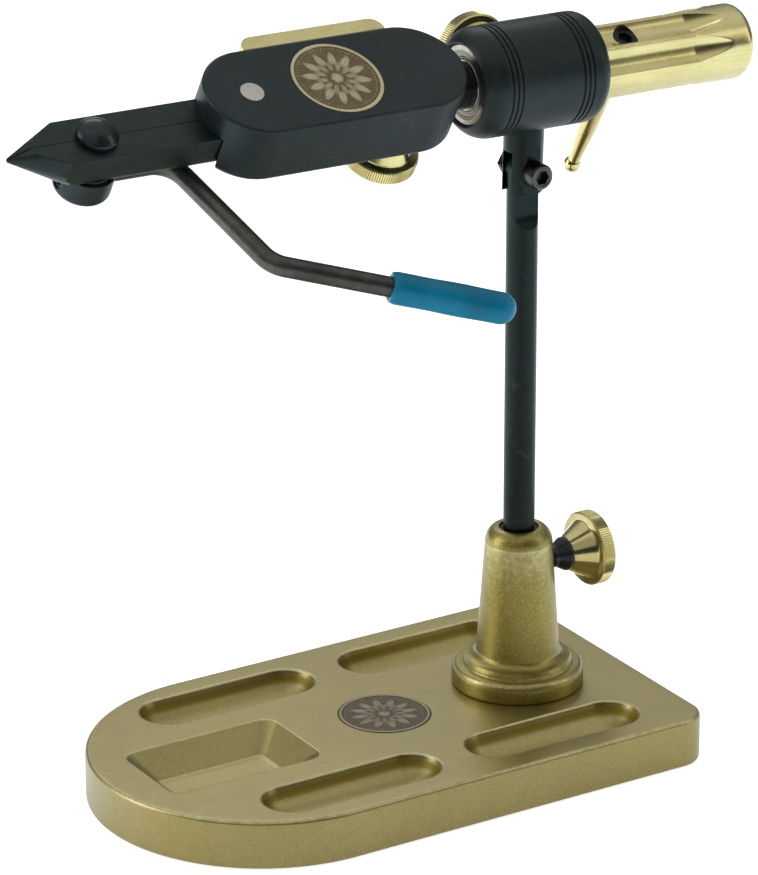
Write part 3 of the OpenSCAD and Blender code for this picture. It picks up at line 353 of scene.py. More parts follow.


# A finish: object coordinates and a piece's wear and painted light marks in, one Principled surface out
class Finish:
    def __init__(self, name):
        self.material = bpy.data.materials.new(name)
        self.material.use_nodes = True
        tree = self.material.node_tree
        self.shader = tree.nodes["Principled BSDF"]
        self.pen = Wire(tree)
        self.spot = self.pen.node("ShaderNodeTexCoord", out="Object")
        # reads the per-point mark: wear and painted highlight above 0, painted shade below 0
        self.wearAndPaintedLight = self.pen.node("ShaderNodeAttribute", {"attribute_name": "wearAndPaintedLight"}, out="Fac")

    # Noise of a given grain size in millimetres, about 0 to 1
    def grain(self, size, detail=2.0, rough=0.5, stretch=None, shift=0.0):
        spot = self.spot
        if stretch or shift:
            spot = self.pen.node("ShaderNodeMapping", None,
                                 {"Vector": spot, "Scale": stretch or (1, 1, 1), "Location": (shift, shift, shift)})
        return self.pen.node("ShaderNodeTexNoise", None,
                             {"Vector": spot, "Scale": 1 / (size * mm), "Detail": detail, "Roughness": rough})

    # One random number for each cell of a given size in millimetres
    def flakes(self, size):
        cells = self.pen.node("ShaderNodeTexVoronoi", {"feature": "F1"},
                              {"Vector": self.spot, "Scale": 1 / (size * mm)}, "Color")
        return self.pen.node("ShaderNodeSeparateColor", None, {"Color": cells})

    # Bump from heights in millimetres
    def bump(self, height, strength=1.0):
        return self.pen.node("ShaderNodeBump", None, {"Strength": strength, "Distance": mm, "Height": height})

    def paint(self, **sockets):
        for key, value in sockets.items():
            target = self.shader.inputs[key.replace("_", " ")]
            if isinstance(value, Wire):
                self.pen.tree.links.new(value.socket, target)
            else:
                target.default_value = (*value, 1) if isinstance(value, tuple) else value
        return self.material


# Satin champagne coat: an even, faintly clouded metallic film with a very fine sparkle.
# Rims are painted bright where the mark is above 0, partly as rubbed wear and partly as painted highlight; where it
# is below 0 painted shade darkens the colour and thins the coat.
def champagneCoat(name, s):
    f = Finish(name)
    cloud, mottle, sand = f.grain(42, 2), f.grain(6, 3, 0.55), f.grain(s["sand"], 3, 0.7)
    flake = f.flakes(s["flake"])
    scratch = f.grain(1.4, 2, 0.6, stretch=(0.12, 2.2, 1.0), shift=0.3).step(0.68, 0.76)
    # rims painted bright where the mark is above 0: partly rubbed wear, partly painted highlight
    rubAndHighlight = (f.wearAndPaintedLight * (0.45 + 1.1 * f.grain(2.0, 3, 0.6, shift=0.1))).step(0.42, 0.95)
    body = (cloud * 0.6 + mottle * 0.4).step(0.30, 0.70).blend(s["deep"], s["light"])
    body = (sand.step(0.35, 0.75) * s["grit"]).blend(body, s["spark"])
    body = (flake.step(0.86, 1.0) * s["glint"]).blend(body, s["spark"])
    body = (flake.step(0.12, 0.02) * 0.35).blend(body, s["deep"])
    body = (scratch * 0.12).blend(body, s["spark"])
    body = (rubAndHighlight * 0.8).blend(body, s["bright"])
    # painted shade where the mark is below 0: darker colour, thinner coat, rougher film
    paintedShade = (f.wearAndPaintedLight * -1.0).step(0.05, 0.8)
    body = (paintedShade * 0.85).blend(body, s["shade"])
    rough = s["rough"] + 0.12 * (sand - 0.5) + 0.08 * (mottle - 0.5) - 0.10 * flake.step(0.8, 1.0) + 0.2 * paintedShade
    height = 0.020 * sand + 0.010 * flake + 0.010 * mottle - 0.004 * scratch
    return f.paint(Base_Color=body, Roughness=rough, Metallic=s["metal"], Normal=f.bump(height, s["bump"]),
                   Coat_Weight=1 - 0.75 * paintedShade, Coat_IOR=s["film"], Coat_Roughness=s["haze"])


# Dark anodised or blackened metal, satin, with faint rubs and its colour a little uneven
def darkMetal(name, s):
    f = Finish(name)
    cloud, mottle, fine = f.grain(30, 2), f.grain(4, 4, 0.65), f.grain(0.4, 3, 0.65)
    line = f.grain(0.9, 2, 0.6, stretch=s.get("brush", (0.3, 1, 1)), shift=0.2)
    rub = f.grain(7, 4, 0.7, shift=0.7).step(0.60, 0.80)
    nick = f.grain(1.1, 2, 0.5, stretch=(0.25, 1.6, 1), shift=0.9).step(0.70, 0.76)
    body = (cloud * 0.5 + mottle * 0.5).step(0.3, 0.7).blend(s["deep"], s["light"])
    body = (rub * 0.35 + nick * 0.3).blend(body, s["rub"])
    body = (f.wearAndPaintedLight * 0.8).blend(body, s["rub"])
    rough = s["rough"] + 0.14 * (mottle - 0.5) + 0.10 * (line - 0.5) + 0.06 * rub
    height = 0.010 * fine + 0.008 * line + 0.006 * mottle
    return f.paint(Base_Color=body, Roughness=rough, Metallic=s["metal"], Specular_IOR_Level=0.35,
                   Normal=f.bump(height, s.get("bump", 0.5)), Coat_Weight=s.get("coat", 0.0), Coat_Roughness=0.2)


# Bare turned or milled metal: bright, with the tool's fine lines and a few stains
def bareMetal(name, s):
    f = Finish(name)
    lines = f.grain(s.get("lineSize", 0.35), 2, 0.5, stretch=s.get("brush", (1, 0.15, 0.15)), shift=0.4)
    cloud, stain = f.grain(14, 3, 0.6), f.grain(3.2, 4, 0.65, shift=0.5).step(0.52, 0.80)
    fine = f.grain(0.5, 2, 0.6, shift=0.8)
    body = (cloud * 0.6 + lines * 0.4).step(0.3, 0.7).blend(s["deep"], s["light"])
    body = (stain * s.get("stain", 0.3)).blend(body, s["dull"])
    rough = s["rough"] + 0.10 * (lines - 0.5) + 0.10 * (cloud - 0.5) + 0.12 * stain
    height = 0.010 * lines + 0.004 * fine
    return f.paint(Base_Color=body, Roughness=rough, Metallic=1.0, Normal=f.bump(height, s.get("bump", 0.4)),
                   Coat_Weight=s.get("coat", 0.0), Coat_IOR=1.8, Coat_Roughness=0.22)


# Antique disc: dark in the hollows, rubbed on the raised ornament
def antiqueDisc(name, s):
    f = Finish(name)
    mottle, fine = f.grain(2.6, 4, 0.65), f.grain(0.35, 2, 0.6)
    raised = (f.wearAndPaintedLight + 0.35 * (mottle - 0.5)).step(0.18, 0.85)
    body = raised.blend(s["deep"], s["light"])
    body = (mottle.step(0.45, 0.75) * 0.35).blend(body, s["mid"])
    rough = s["rough"] - 0.12 * raised + 0.16 * (fine - 0.5)
    height = 0.018 * fine + 0.03 * mottle
    return f.paint(Base_Color=body, Roughness=rough, Metallic=0.85, Normal=f.bump(height, 0.5))


# Smooth dipped vinyl or moulded plastic
def softPlastic(name, s):
    f = Finish(name)
    cloud, dimple, fine = f.grain(9, 2), f.grain(2.2, 2, 0.5), f.grain(0.3, 2, 0.5)
    scuff = f.grain(2.4, 4, 0.7, stretch=(0.5, 1.3, 1), shift=0.6).step(0.62, 0.78)
    body = (cloud * 0.7 + dimple * 0.3).step(0.3, 0.7).blend(s["deep"], s["light"])
    body = (scuff * 0.25).blend(body, s["pale"])
    rough = s["rough"] + 0.12 * (dimple - 0.5) + 0.15 * scuff
    return f.paint(Base_Color=body, Roughness=rough, Metallic=0.0, Specular_IOR_Level=0.25,
                   Normal=f.bump(0.05 * dimple + 0.006 * fine, s.get("bump", 0.35)))


brass = {"deep": (0.50, 0.41, 0.105), "light": (0.65, 0.555, 0.21), "dull": (0.37, 0.29, 0.07), "coat": 1.0}
turnedBrass = {**brass, "rough": 0.15, "stain": 0.12}
# bright is the rims' colour, partly rubbed metal and partly painted highlight; shade is the painted shade colour of
# the slots' walls and the socket's foot
champagne = {"deep": (0.275, 0.215, 0.028), "light": (0.335, 0.265, 0.042), "spark": (0.58, 0.50, 0.20),
             "bright": (0.62, 0.55, 0.28), "shade": (0.24, 0.175, 0.006), "sand": 0.5, "flake": 0.26,
             "grit": 0.24, "glint": 0.40, "metal": 1.0, "rough": 0.42, "bump": 0.5, "film": 1.75, "haze": 0.36}
black = {"deep": (0.010, 0.012, 0.013), "light": (0.020, 0.024, 0.026), "rub": (0.09, 0.10, 0.10)}
finishes = {
    "champagnePlate": (champagneCoat, champagne),
    "champagneSocket": (champagneCoat, {
        **champagne, "deep": (0.235, 0.185, 0.012), "light": (0.31, 0.245, 0.022), "film": 1.45, "bump": 1.2,
        "sand": 0.7, "grit": 0.45}),
    "copperDisc": (antiqueDisc, {
        "deep": (0.130, 0.105, 0.072), "mid": (0.19, 0.155, 0.11), "light": (0.31, 0.26, 0.19), "rough": 0.50}),
    "bronzeDisc": (antiqueDisc, {
        "deep": (0.150, 0.115, 0.060), "mid": (0.34, 0.27, 0.15), "light": (0.56, 0.47, 0.29), "rough": 0.40}),
    "blackSteel": (darkMetal, {**black, "rough": 0.34, "metal": 0.6}),
    "blackAnodised": (darkMetal, {
        "deep": (0.014, 0.020, 0.019), "light": (0.028, 0.036, 0.034), "rub": (0.10, 0.12, 0.11),
        "rough": 0.26, "metal": 0.5}),
    "glossBlack": (darkMetal, {**black, "rough": 0.22, "metal": 0.2, "coat": 0.3}),
    "bluedSteel": (darkMetal, {
        "deep": (0.008, 0.014, 0.012), "light": (0.014, 0.022, 0.020), "rub": (0.12, 0.14, 0.14),
        "rough": 0.33, "metal": 0.75, "brush": (1, 1, 0.2)}),
    "darkHub": (darkMetal, {
        "deep": (0.015, 0.023, 0.022), "light": (0.024, 0.034, 0.033), "rub": (0.09, 0.11, 0.11),
        "rough": 0.40, "metal": 0.55}),
    "darkHead": (darkMetal, {
        "deep": (0.016, 0.025, 0.025), "light": (0.025, 0.036, 0.036), "rub": (0.10, 0.12, 0.12),
        "rough": 0.44, "metal": 0.5}),
    "darkJaw": (darkMetal, {
        "deep": (0.017, 0.026, 0.025), "light": (0.030, 0.043, 0.041), "rub": (0.14, 0.16, 0.15),
        "rough": 0.40, "metal": 0.65}),
    "glossDome": (darkMetal, {
        "deep": (0.020, 0.026, 0.027), "light": (0.034, 0.042, 0.043), "rub": (0.12, 0.14, 0.14),
        "rough": 0.24, "metal": 0.65}),
    "darkRod": (darkMetal, {
        "deep": (0.055, 0.056, 0.048), "light": (0.115, 0.117, 0.100), "rub": (0.20, 0.19, 0.17),
        "rough": 0.36, "metal": 0.8, "brush": (1, 1, 1), "bump": 0.8}),
    "greySteel": (bareMetal, {
        "deep": (0.055, 0.053, 0.048), "light": (0.12, 0.115, 0.10), "dull": (0.045, 0.04, 0.035), "rough": 0.32}),
    "brightSteel": (bareMetal, {
        "deep": (0.30, 0.29, 0.25), "light": (0.46, 0.45, 0.40), "dull": (0.22, 0.20, 0.16), "rough": 0.22}),
    "shieldSteel": (bareMetal, {
        "deep": (0.20, 0.19, 0.15), "light": (0.30, 0.285, 0.23), "dull": (0.14, 0.125, 0.09), "rough": 0.34}),
    "pinSteel": (bareMetal, {
        "deep": (0.46, 0.43, 0.37), "light": (0.60, 0.57, 0.50), "dull": (0.36, 0.32, 0.26), "rough": 0.42}),
    "brassAlong": (bareMetal, {**turnedBrass, "rough": 0.25, "lineSize": 0.6, "brush": (0.04, 1, 1)}),
    "brassStem": (bareMetal, turnedBrass),
    "brassHead": (bareMetal, {**turnedBrass, "brush": (0.15, 0.15, 1)}),
    "brassDrag": (bareMetal, {**turnedBrass, "brush": (0.15, 1, 0.15)}),
    "brassSatin": (bareMetal, {**brass, "rough": 0.34, "stain": 0.3, "brush": (0.1, 1, 1)}),
    "cageBrass": (bareMetal, {**brass, "rough": 0.4}),
    "whiteNylon": (softPlastic, {
        "deep": (0.66, 0.64, 0.56), "light": (0.78, 0.76, 0.68), "pale": (0.85, 0.84, 0.8), "rough": 0.5}),
    "tealVinyl": (softPlastic, {
        "deep": (0.0, 0.155, 0.265), "light": (0.0, 0.215, 0.355), "pale": (0.06, 0.30, 0.42), "rough": 0.38}),
}
looks = {name: make(name, tones) for name, (make, tones) in finishes.items()}
print("finishes:", len(looks))

plate = {"front": (-90.4, 53.4), "rear": 35.4, "half": 53.4, "corner": 9.5, "thick": 15.2, "edge": 1.2,
         "sheet": 3.5, "slotAt": (-81.8, -11.1), "slotY": 36.0, "slotReach": 20.4, "ballR": 9.525, "slotDeep": 7.0,
         "lip": 0.9, "tray": (-104.6, 51.5, 32.0, 4.5, 2.25), "trayDeep": 7.5, "trayLean": 7.5, "trayFillet": 2.4,
         "disc": (-48.0, 14.0, 1.4), "screwRing": 11.0, "headR": 4.25, "sink": 5.6}


# The outer outline: a half circle at the front, straight sides, two round rear corners
def plateArcs(p):
    cx, r = p["front"]
    rx, ry = p["rear"] - p["corner"], p["half"] - p["corner"]
    return [(cx, 0, r, 90, 270, 97), (rx, -ry, p["corner"], -90, 0, 15), (rx, ry, p["corner"], 0, 90, 15)]


# A slot's wall: a rounded lip, then the ball cutter's circle: half width = R cos a, depth = R sin a - top
def slotWall(p):
    r, top = p["ballR"], p["ballR"] - p["slotDeep"]
    half = math.sqrt(r * r - top * top)
    a = np.linspace(math.asin(top / r) + 0.16, math.pi / 2, 12)
    lip = roundedLine([(half + 1.5, 0, 0), (half, 0, p["lip"]), (r * math.cos(a[0]), top - r * math.sin(a[0]), 0)])
    return np.concatenate([lip[:-1], np.stack([r * np.cos(a), top - r * np.sin(a)], 1)]), half


# A tray's wall as rings (shrink, z): rounded lip, lean, fillet, then the floor
def trayWall(p):
    lean, deep = p["trayLean"], p["trayDeep"]
    return roundedLine([(-1.6, 0), (0, 0, p["lip"]), (0.16 * lean, -0.16 * deep), (lean, -deep, p["trayFillet"]),
                        (lean + 3.4, -deep)], 6)


# The tray's outline shrunk by a given amount, its corners growing tighter with the depth
def trayRing(p, shrink):
    cx, length, width, r0, r1 = p["tray"]
    r = max(r0 + (r1 - r0) * shrink / p["trayLean"], 0.6)
    x, y = length / 2 - shrink - r, width / 2 - shrink - r
    return outline([(cx + x, y, r, 0, 90, 9), (cx - x, y, r, 90, 180, 9),
                    (cx - x, -y, r, 180, 270, 9), (cx + x, -y, r, 270, 360, 9)], 0, 6)


# The plate: its side, four slots, the tray, the disc's seat and the screws' wells below, joined by flat sheets
def basePlateParts(p):
    arcs, thick, parts, holes = plateArcs(p), p["thick"], [], []
    side = roundedLine([(p["sheet"], thick), (0, thick, p["edge"]), (0, 0, p["edge"]), (p["sheet"], 0)], 5)
    rings = [outline(arcs, d) for d in side[:, 0]]
    # the side's top edge marked bright: partly rubbed wear, partly painted highlight
    wearAndPaintedLight = 0.75 * bell(side[:, 1], thick - 0.35, 0.6) * (side[:, 0] < 1.6)
    parts.append((*stacked(rings, side[:, 1]), np.repeat(wearAndPaintedLight, len(rings[0]))))
    wall, half = slotWall(p)
    # slot rims marked bright, partly wear and partly painted highlight; painted shade on the walls about 2.6 mm
    # below the top
    wearAndPaintedLight = bell(wall[:, 0], half + 0.15, 0.45) * (wall[:, 1] > -1.0) - 0.9 * bell(wall[:, 1], -2.6, 1.3)
    for x in p["slotAt"]:
        for y in (-p["slotY"], p["slotY"]):
            capsule = [(x + p["slotReach"], y, 0, -90, 90, 33), (x - p["slotReach"], y, 0, 90, 270, 33)]
            rings = [outline(capsule, -w) for w in wall[:, 0]]
            parts.append((*stacked(rings, thick + wall[:, 1]), np.repeat(wearAndPaintedLight, len(rings[0]))))
            holes.append(rings[0])
    lean = trayWall(p)
    rings = [trayRing(p, d) for d in lean[:, 0]]
    # the tray's lip marked bright: partly rubbed wear, partly painted highlight
    wearAndPaintedLight = 0.7 * bell(lean[:, 0], 0, 0.5) * (lean[:, 1] > -0.9)
    parts.append((*stacked(rings, thick + lean[:, 1]), np.repeat(wearAndPaintedLight, len(rings[0]))))
    parts.append(flatSheet(rings[-1], [], thick - p["trayDeep"]))
    holes.append(rings[0])
    cx, r, deep = p["disc"]
    seat = roundedLine([(r + 1.0, thick), (r + 0.06, thick, 0.25), (r + 0.06, thick - deep), (0, thick - deep)], 3)
    points, faces = turned(seat, 96)
    parts.append((points + np.array([cx, 0, 0]), faces))
    holes.append(circle(r + 1.0, 96, cx))
    parts.append(flatSheet(outline(arcs, p["sheet"]), holes, thick))
    wells = []
    for k in range(4):
        a = math.radians(45 + 90 * k)
        x, y = p["screwRing"] * math.cos(a), p["screwRing"] * math.sin(a)
        well = roundedLine([(p["headR"] + 0.8, 0), (p["headR"] + 0.05, 0, 0.3), (p["headR"] + 0.05, p["sink"]),
                            (0, p["sink"])], 3)
        points, faces = turned(well, 40)
        parts.append((points + np.array([x, y, 0]), faces))
        wells.append(circle(p["headR"] + 0.8, 40, x, y))
    parts.append(flatSheet(outline(arcs, p["sheet"]), wells, 0.0))
    return parts


makePiece("basePlate", basePlateParts(plate), basePlace, "base", "champagnePlate", "champagne_plate", "base_plate")
print("base plate done")

disc = {"radius": 14.0, "under": 1.4, "rimIn": 12.7, "rimHalf": 0.62, "proud": 0.2, "sunk": 0.06, "edge": 13.85,
        "petals": 12, "outerRow": (5.0, 11.0, 1.55, 0.0), "innerRow": (2.6, 7.4, 0.95, 0.5), "bossR": 2.2,
        "beads": 60, "beadAt": 11.85, "beadHalf": (0.34, 0.42), "columns": 300, "headAt": -68.5, "headTop": 11.8}


# Height over a disc's field in polar form: a round rim, a ring of beads, two rows of petals and a boss.
# A petal is an arch across its width, sqrt(1 - (arc / half width)^2), tapering to both its ends.
def discHeight(r, f, d):
    rim = np.clip(1 - ((r - (d["radius"] + d["rimIn"]) / 2) / d["rimHalf"]) ** 2, 0, 1) ** 0.35
    halfOut, halfRound = d["beadHalf"]
    arc = r * (np.mod(f * d["beads"] / (2 * math.pi), 1) - 0.5) * 2 * math.pi / d["beads"]
    bead = np.clip(1 - ((r - d["beadAt"]) / halfOut) ** 2 - (arc / halfRound) ** 2, 0, 1) ** 0.5

    def row(inner, outer, width, turn):
        pitch = 2 * math.pi / d["petals"]
        arc = (np.mod(f / pitch + turn, 1) - 0.5) * pitch * r
        t = np.clip((r - inner) / (outer - inner), 0, 1)
        half = width * np.sin(math.pi * t ** 0.72) ** 0.7 + 1e-6
        leaf = np.sqrt(np.clip(1 - (arc / half) ** 2, 0, 1)) * np.sin(math.pi * t) ** 0.25
        return leaf * (1 - 0.35 * bell(arc, 0, 0.16))

    petals = np.maximum(row(*d["outerRow"]), 0.85 * row(*d["innerRow"]))
    boss = np.clip(1 - (r / d["bossR"]) ** 2, 0, 1) ** 0.5 * (0.9 + 0.1 * np.cos(6 * f))
    return np.maximum.reduce([1.0 * rim, 0.55 * bead, 0.75 * petals, 0.85 * boss])


# The carved top, z = field + height * relief over the disc, and its plain side and back
def discParts(d):
    edge, field = d["edge"], d["under"] - d["sunk"]
    r = np.concatenate([np.linspace(0, 12.4, 70), np.linspace(12.5, edge, 13)])
    f = around(d["columns"])
    rr, ff = np.meshgrid(r, f, indexing="ij")
    h = discHeight(rr, ff, d)
    top = np.stack([rr * np.cos(ff), rr * np.sin(ff), field + (d["proud"] + d["sunk"]) * h], -1)
    wall = np.array([[edge, field], [edge + 0.1, d["under"] - 0.1], [edge + 0.1, 0.05], [edge, 0], [0, 0]])
    return [(top.reshape(-1, 3), gridFaces(len(r), d["columns"]), h.ravel()), turned(wall, d["columns"])]


discPlaces = {
    "base": ("base", "copper", moved(basePlace, (plate["disc"][0], 0, plate["thick"] - disc["under"]))),
    "head": ("rotor", "bronze", moved(headPlace, (disc["headAt"], 0, disc["headTop"] - disc["under"])))}
for which, (body, metal, place) in discPlaces.items():
    makePiece(which + "Disc", discParts(disc), place, body, metal + "Disc", metal + "_disc", which + "_medallion",
              sharpAngle=70)
print("discs done")

socketSize = {"foot": 15.2, "rim": 20.2, "band": 3.4, "bead": 16.6, "beadZ": 6.4, "filletR": 16.0, "filletZ": 8.6,
              "flange": 11.0, "footR": 12.7, "topR": 10.3, "high": 50.9, "shoulder": 5.0, "bore": 5.9, "deep": 14.8}


# Profile (radius, z): a band curving in over the foot, a bead, a hollow fillet, the cone and a round shoulder
def socketProfile(s):
    a = np.linspace(0, math.pi / 2, 7)
    band = np.stack([s["rim"] - 1.7 * (1 - np.cos(a)), s["band"] + 3.0 * np.sin(a)], 1)
    fillet = np.stack([s["filletR"] - (s["filletR"] - s["footR"]) * np.sin(a),
                       s["flange"] - (s["flange"] - s["filletZ"]) * np.cos(a)], 1)
    lip = s["bore"] + 0.7
    dome = np.stack([lip + (s["topR"] - lip) * np.cos(a), s["high"] - s["shoulder"] * (1 - np.sin(a))], 1)
    bead = [(s["bead"] + 0.2, s["beadZ"], 0.25), (s["bead"], s["beadZ"] + 0.5), (s["bead"], s["beadZ"] + 1, 0.3)]
    coneTop = [(s["topR"] + 0.03, s["high"] - s["shoulder"] - 0.25)]
    bore = [(s["bore"], s["high"], 0.3), (s["bore"], s["deep"]), (0, s["deep"])]
    return roundedLine([(0, 0), (s["rim"] - 0.4, 0), (s["rim"], 0.4)] + band.tolist() + bead + fillet.tolist()
                       + coneTop + dome.tolist() + bore, 3)


# Marked bright at the shoulder and at both edges of the bead, partly as wear and partly as painted highlight;
# painted shade round the foot, where it meets the plate
def socketParts(s, columns=160):
    profile = socketProfile(s)
    z = profile[:, 1]
    wearAndPaintedLight = 0.9 * bell(z, s["high"] - s["shoulder"], 0.5) + 0.7 * bell(z, 7.0, 0.5) + 0.8 * bell(z, 5.6, 0.7)
    # painted shade round the foot, where the socket stands on the plate
    wearAndPaintedLight = (wearAndPaintedLight - 0.9 * bell(z, 1.6, 1.3)) * (profile[:, 0] > 9)
    return [(*turned(profile, columns), np.repeat(wearAndPaintedLight, columns))]


makePiece("stemSocket", socketParts(socketSize), moved(basePlace, (0, 0, socketSize["foot"])), "base",
          "champagneSocket", "champagne_socket", "stem_socket", sharpAngle=38)

knob = {"small": 5.2, "big": 8.8, "cone": 6.6, "rimR": 11.5, "rim": 4.7, "chamfer": 0.55, "teeth": 100,
        "tooth": 0.14, "faceR": 8.2, "faceDeep": 0.25, "headAt": -43.05, "headDown": 14.3}


# The rim's radius is notched by the knurl: r - tooth (1 - cos(teeth f)) / 2 along the rim's own width
def knobParts(k):
    z0, z1 = k["cone"], k["cone"] + k["rim"]
    c = k["chamfer"]
    lead = roundedLine([(0, 0), (k["small"], 0, 0.2), (k["big"], z0 - 0.5, 0.4), (k["big"] + 0.1, z0, 0.3),
                        (k["rimR"] - c, z0, 0.15), (k["rimR"] - 0.02, z0 + c, 0.0)], 3)
    band = np.stack([np.full(4, k["rimR"]), np.linspace(z0 + c, z1 - c, 4)], 1)
    face = z1 - k["faceDeep"]
    back = roundedLine([(k["rimR"] - 0.02, z1 - c), (k["rimR"] - c, z1, 0.15), (k["faceR"], z1, 0.1),
                        (k["faceR"] - 0.3, face, 0.1), (1.6, face, 0.1), (1.2, z1 - 0.7), (0, z1 - 0.9)], 3)
    profile = np.concatenate([lead, band, back])

    def knurl(r, z, f):
        depth = k["tooth"] * np.clip((r - k["rimR"] + 0.45) / 0.45, 0, 1)
        return r - depth * (1 - np.cos(k["teeth"] * f)), z

    return [turned(profile, 4 * k["teeth"], shift=knurl)]


collar = {"neck": 3.4, "neckLong": 1.6, "rimR": 5.2, "long": 5.7, "rim": 1.0}


# A thin neck against the socket or the head, then a cone up to the knob
def collarParts(c):
    return [turned(roundedLine([(0, 0), (c["neck"], 0, 0.15), (c["neck"], c["neckLong"], 0.3),
                                (c["rimR"], c["long"] - c["rim"], 0.35), (c["rimR"], c["long"], 0.2),
                                (0, c["long"])], 4), 96)]


stemKnobAt = (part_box("stem_knob")[0].x / mm, 0, joint["stem_knob_turn"]["pos_m"][2] / mm)
knobPlaces = {"stem": facing(moved(basePlace, stemKnobAt), "x"),
              "drag": facing(moved(hubPlace, (0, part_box("drag_knob")[0].y / mm, 0)), "y"),
              "head": facing(moved(headPlace, (knob["headAt"], 0, -knob["headDown"])), "-z")}
for which, place in knobPlaces.items():
    makePiece(which + "Knob", knobParts(knob), place, which + "_knob_set", "brass" + which.title(),
              "polished_brass", which + "_knob")
for which in ("stem", "head"):
    makePiece(which + "KnobCollar", collarParts(collar), moved(knobPlaces[which], (0, 0, -collar["long"])),
              which + "_knob_set", "blackAnodised", "black_anodised", which + "_knob_collar")
print("socket and knobs done")

hub = {"from": -22.6, "to": 21.0, "r": 16.65, "bore": 12.02, "noseLong": 6.8, "noseHigh": 3.9, "rearR": 4.6,
       "grooves": (7.6, 9.3, 11.0), "grooveWide": 0.7, "grooveDeep": 0.45}


# Profile (radius, x): the nose is an arc tangent to the cylinder, the rear edge a quarter circle
def hubParts(h):
    r, x0, x1 = h["r"], h["from"], h["to"]
    big = (h["noseLong"] ** 2 + h["noseHigh"] ** 2) / (2 * h["noseHigh"])
    a = np.linspace(math.asin(h["noseLong"] / big), 0, 14)
    nose = np.stack([r - big * (1 - np.cos(a)), x0 + h["noseLong"] - big * np.sin(a)], 1)
    b = np.linspace(0, math.pi / 2, 12)
    rear = np.stack([r - h["rearR"] * (1 - np.cos(b)), x1 - h["rearR"] * (1 - np.sin(b))], 1)
    cuts = []
    for g in [x0 + v for v in h["grooves"]] + [x1 - v for v in reversed(h["grooves"])]:
        w, d = h["grooveWide"] / 2, h["grooveDeep"]
        cuts += roundedLine([(r, g - w - 0.5), (r, g - w, 0.12), (r - d, g - w + 0.08, 0.12),
                             (r - d, g + w - 0.08, 0.12), (r, g + w, 0.12), (r, g + w + 0.2)], 3)[1:-1].tolist()
    front = roundedLine([(h["bore"], x0 + 2), (h["bore"], x0 + 0.5, 0.1), (h["bore"] + 0.5, x0, 0.15),
                         tuple(nose[0]) + (0.25,), tuple(nose[1])], 3)[:-1]
    back = roundedLine([tuple(rear[-1]), (h["bore"] + 0.5, x1, 0.15), (h["bore"], x1 - 0.5, 0.1),
                        (h["bore"], x1 - 2)], 3)
    profile = np.concatenate([front, nose[1:], np.array(cuts), rear, back[1:]])
    return [turned(profile, 192, closed=True)]


makePiece("hubHousing", hubParts(hub), facing(hubPlace, "x"), "hub", "darkHub", "dark_hub", "hub_housing",
          sharpAngle=35)

bearing = {"out": 12.0, "outIn": 10.2, "in": 6.0, "inOut": 7.8, "wide": 6.0, "inset": 0.9, "shieldStep": (8.5, 8.2)}


# A race's ring with rounded lips; its ball track isn't seen behind the shields
def raceRing(r0, r1, wide):
    return turned(roundedLine([(r0, wide / 2), (r0, 0, 0.3), (r1, 0, 0.35), (r1, wide, 0.35), (r0, wide, 0.3),
                               (r0, wide / 2)], 4)[:-1], 128, closed=True)


# A pressed shield: flat, with a step inside its rim and a turned-in lip at its bore; s is 1 or -1, its inner side
def shieldRing(b, z, s):
    rim, step, lip, (high, low) = b["outIn"] + 0.02, z + 0.18 * s, b["inOut"] + 0.1, b["shieldStep"]
    return turned(roundedLine([(rim, z), (b["outIn"] - 0.5, z, 0.1), (b["outIn"] - 0.8, step, 0.1),
                               (high, step, 0.1), (low, z - 0.02 * s, 0.1), (lip, z - 0.02 * s, 0.08),
                               (lip, z + 0.4 * s, 0.08), (rim, z + 0.4 * s)], 3), 128, closed=True)


for end, x in (("front", hub["from"] + bearing["inset"]), ("rear", hub["to"] - bearing["inset"] - bearing["wide"])):
    outer = raceRing(bearing["outIn"], bearing["out"] - 0.01, bearing["wide"])
    inner = raceRing(bearing["in"] + 0.02, bearing["inOut"], bearing["wide"])
    shields = [shieldRing(bearing, 0.2, 1), shieldRing(bearing, bearing["wide"] - 0.2, -1)]
    place = facing(moved(hubPlace, (x, 0, 0)), "x")
    makePiece(end + "OuterRace", [outer], place, "hub", "brightSteel", "bright_steel", end + "_outer_race")
    makePiece(end + "InnerRace", [inner], place, "rotor", "brightSteel", "bright_steel", end + "_inner_race")
    makePiece(end + "Shields", shields, place, "hub", "shieldSteel", "shield_steel", end + "_shields")
print("hub done")

handle = {"from": 21.6, "long": 54.2, "r": 11.5, "end": 3.5, "noseR": 7.2, "nose": 1.5, "millR": 5.3, "deep": 2.6,
          "flute": 33.0, "ramp": 13.0, "rise": 2.73, "soft": 0.05, "clear": 99.0,
          "flutes": (-45, 0, 45, 135, 180, 225), "screwAt": 10.5, "screwR": 3.86}


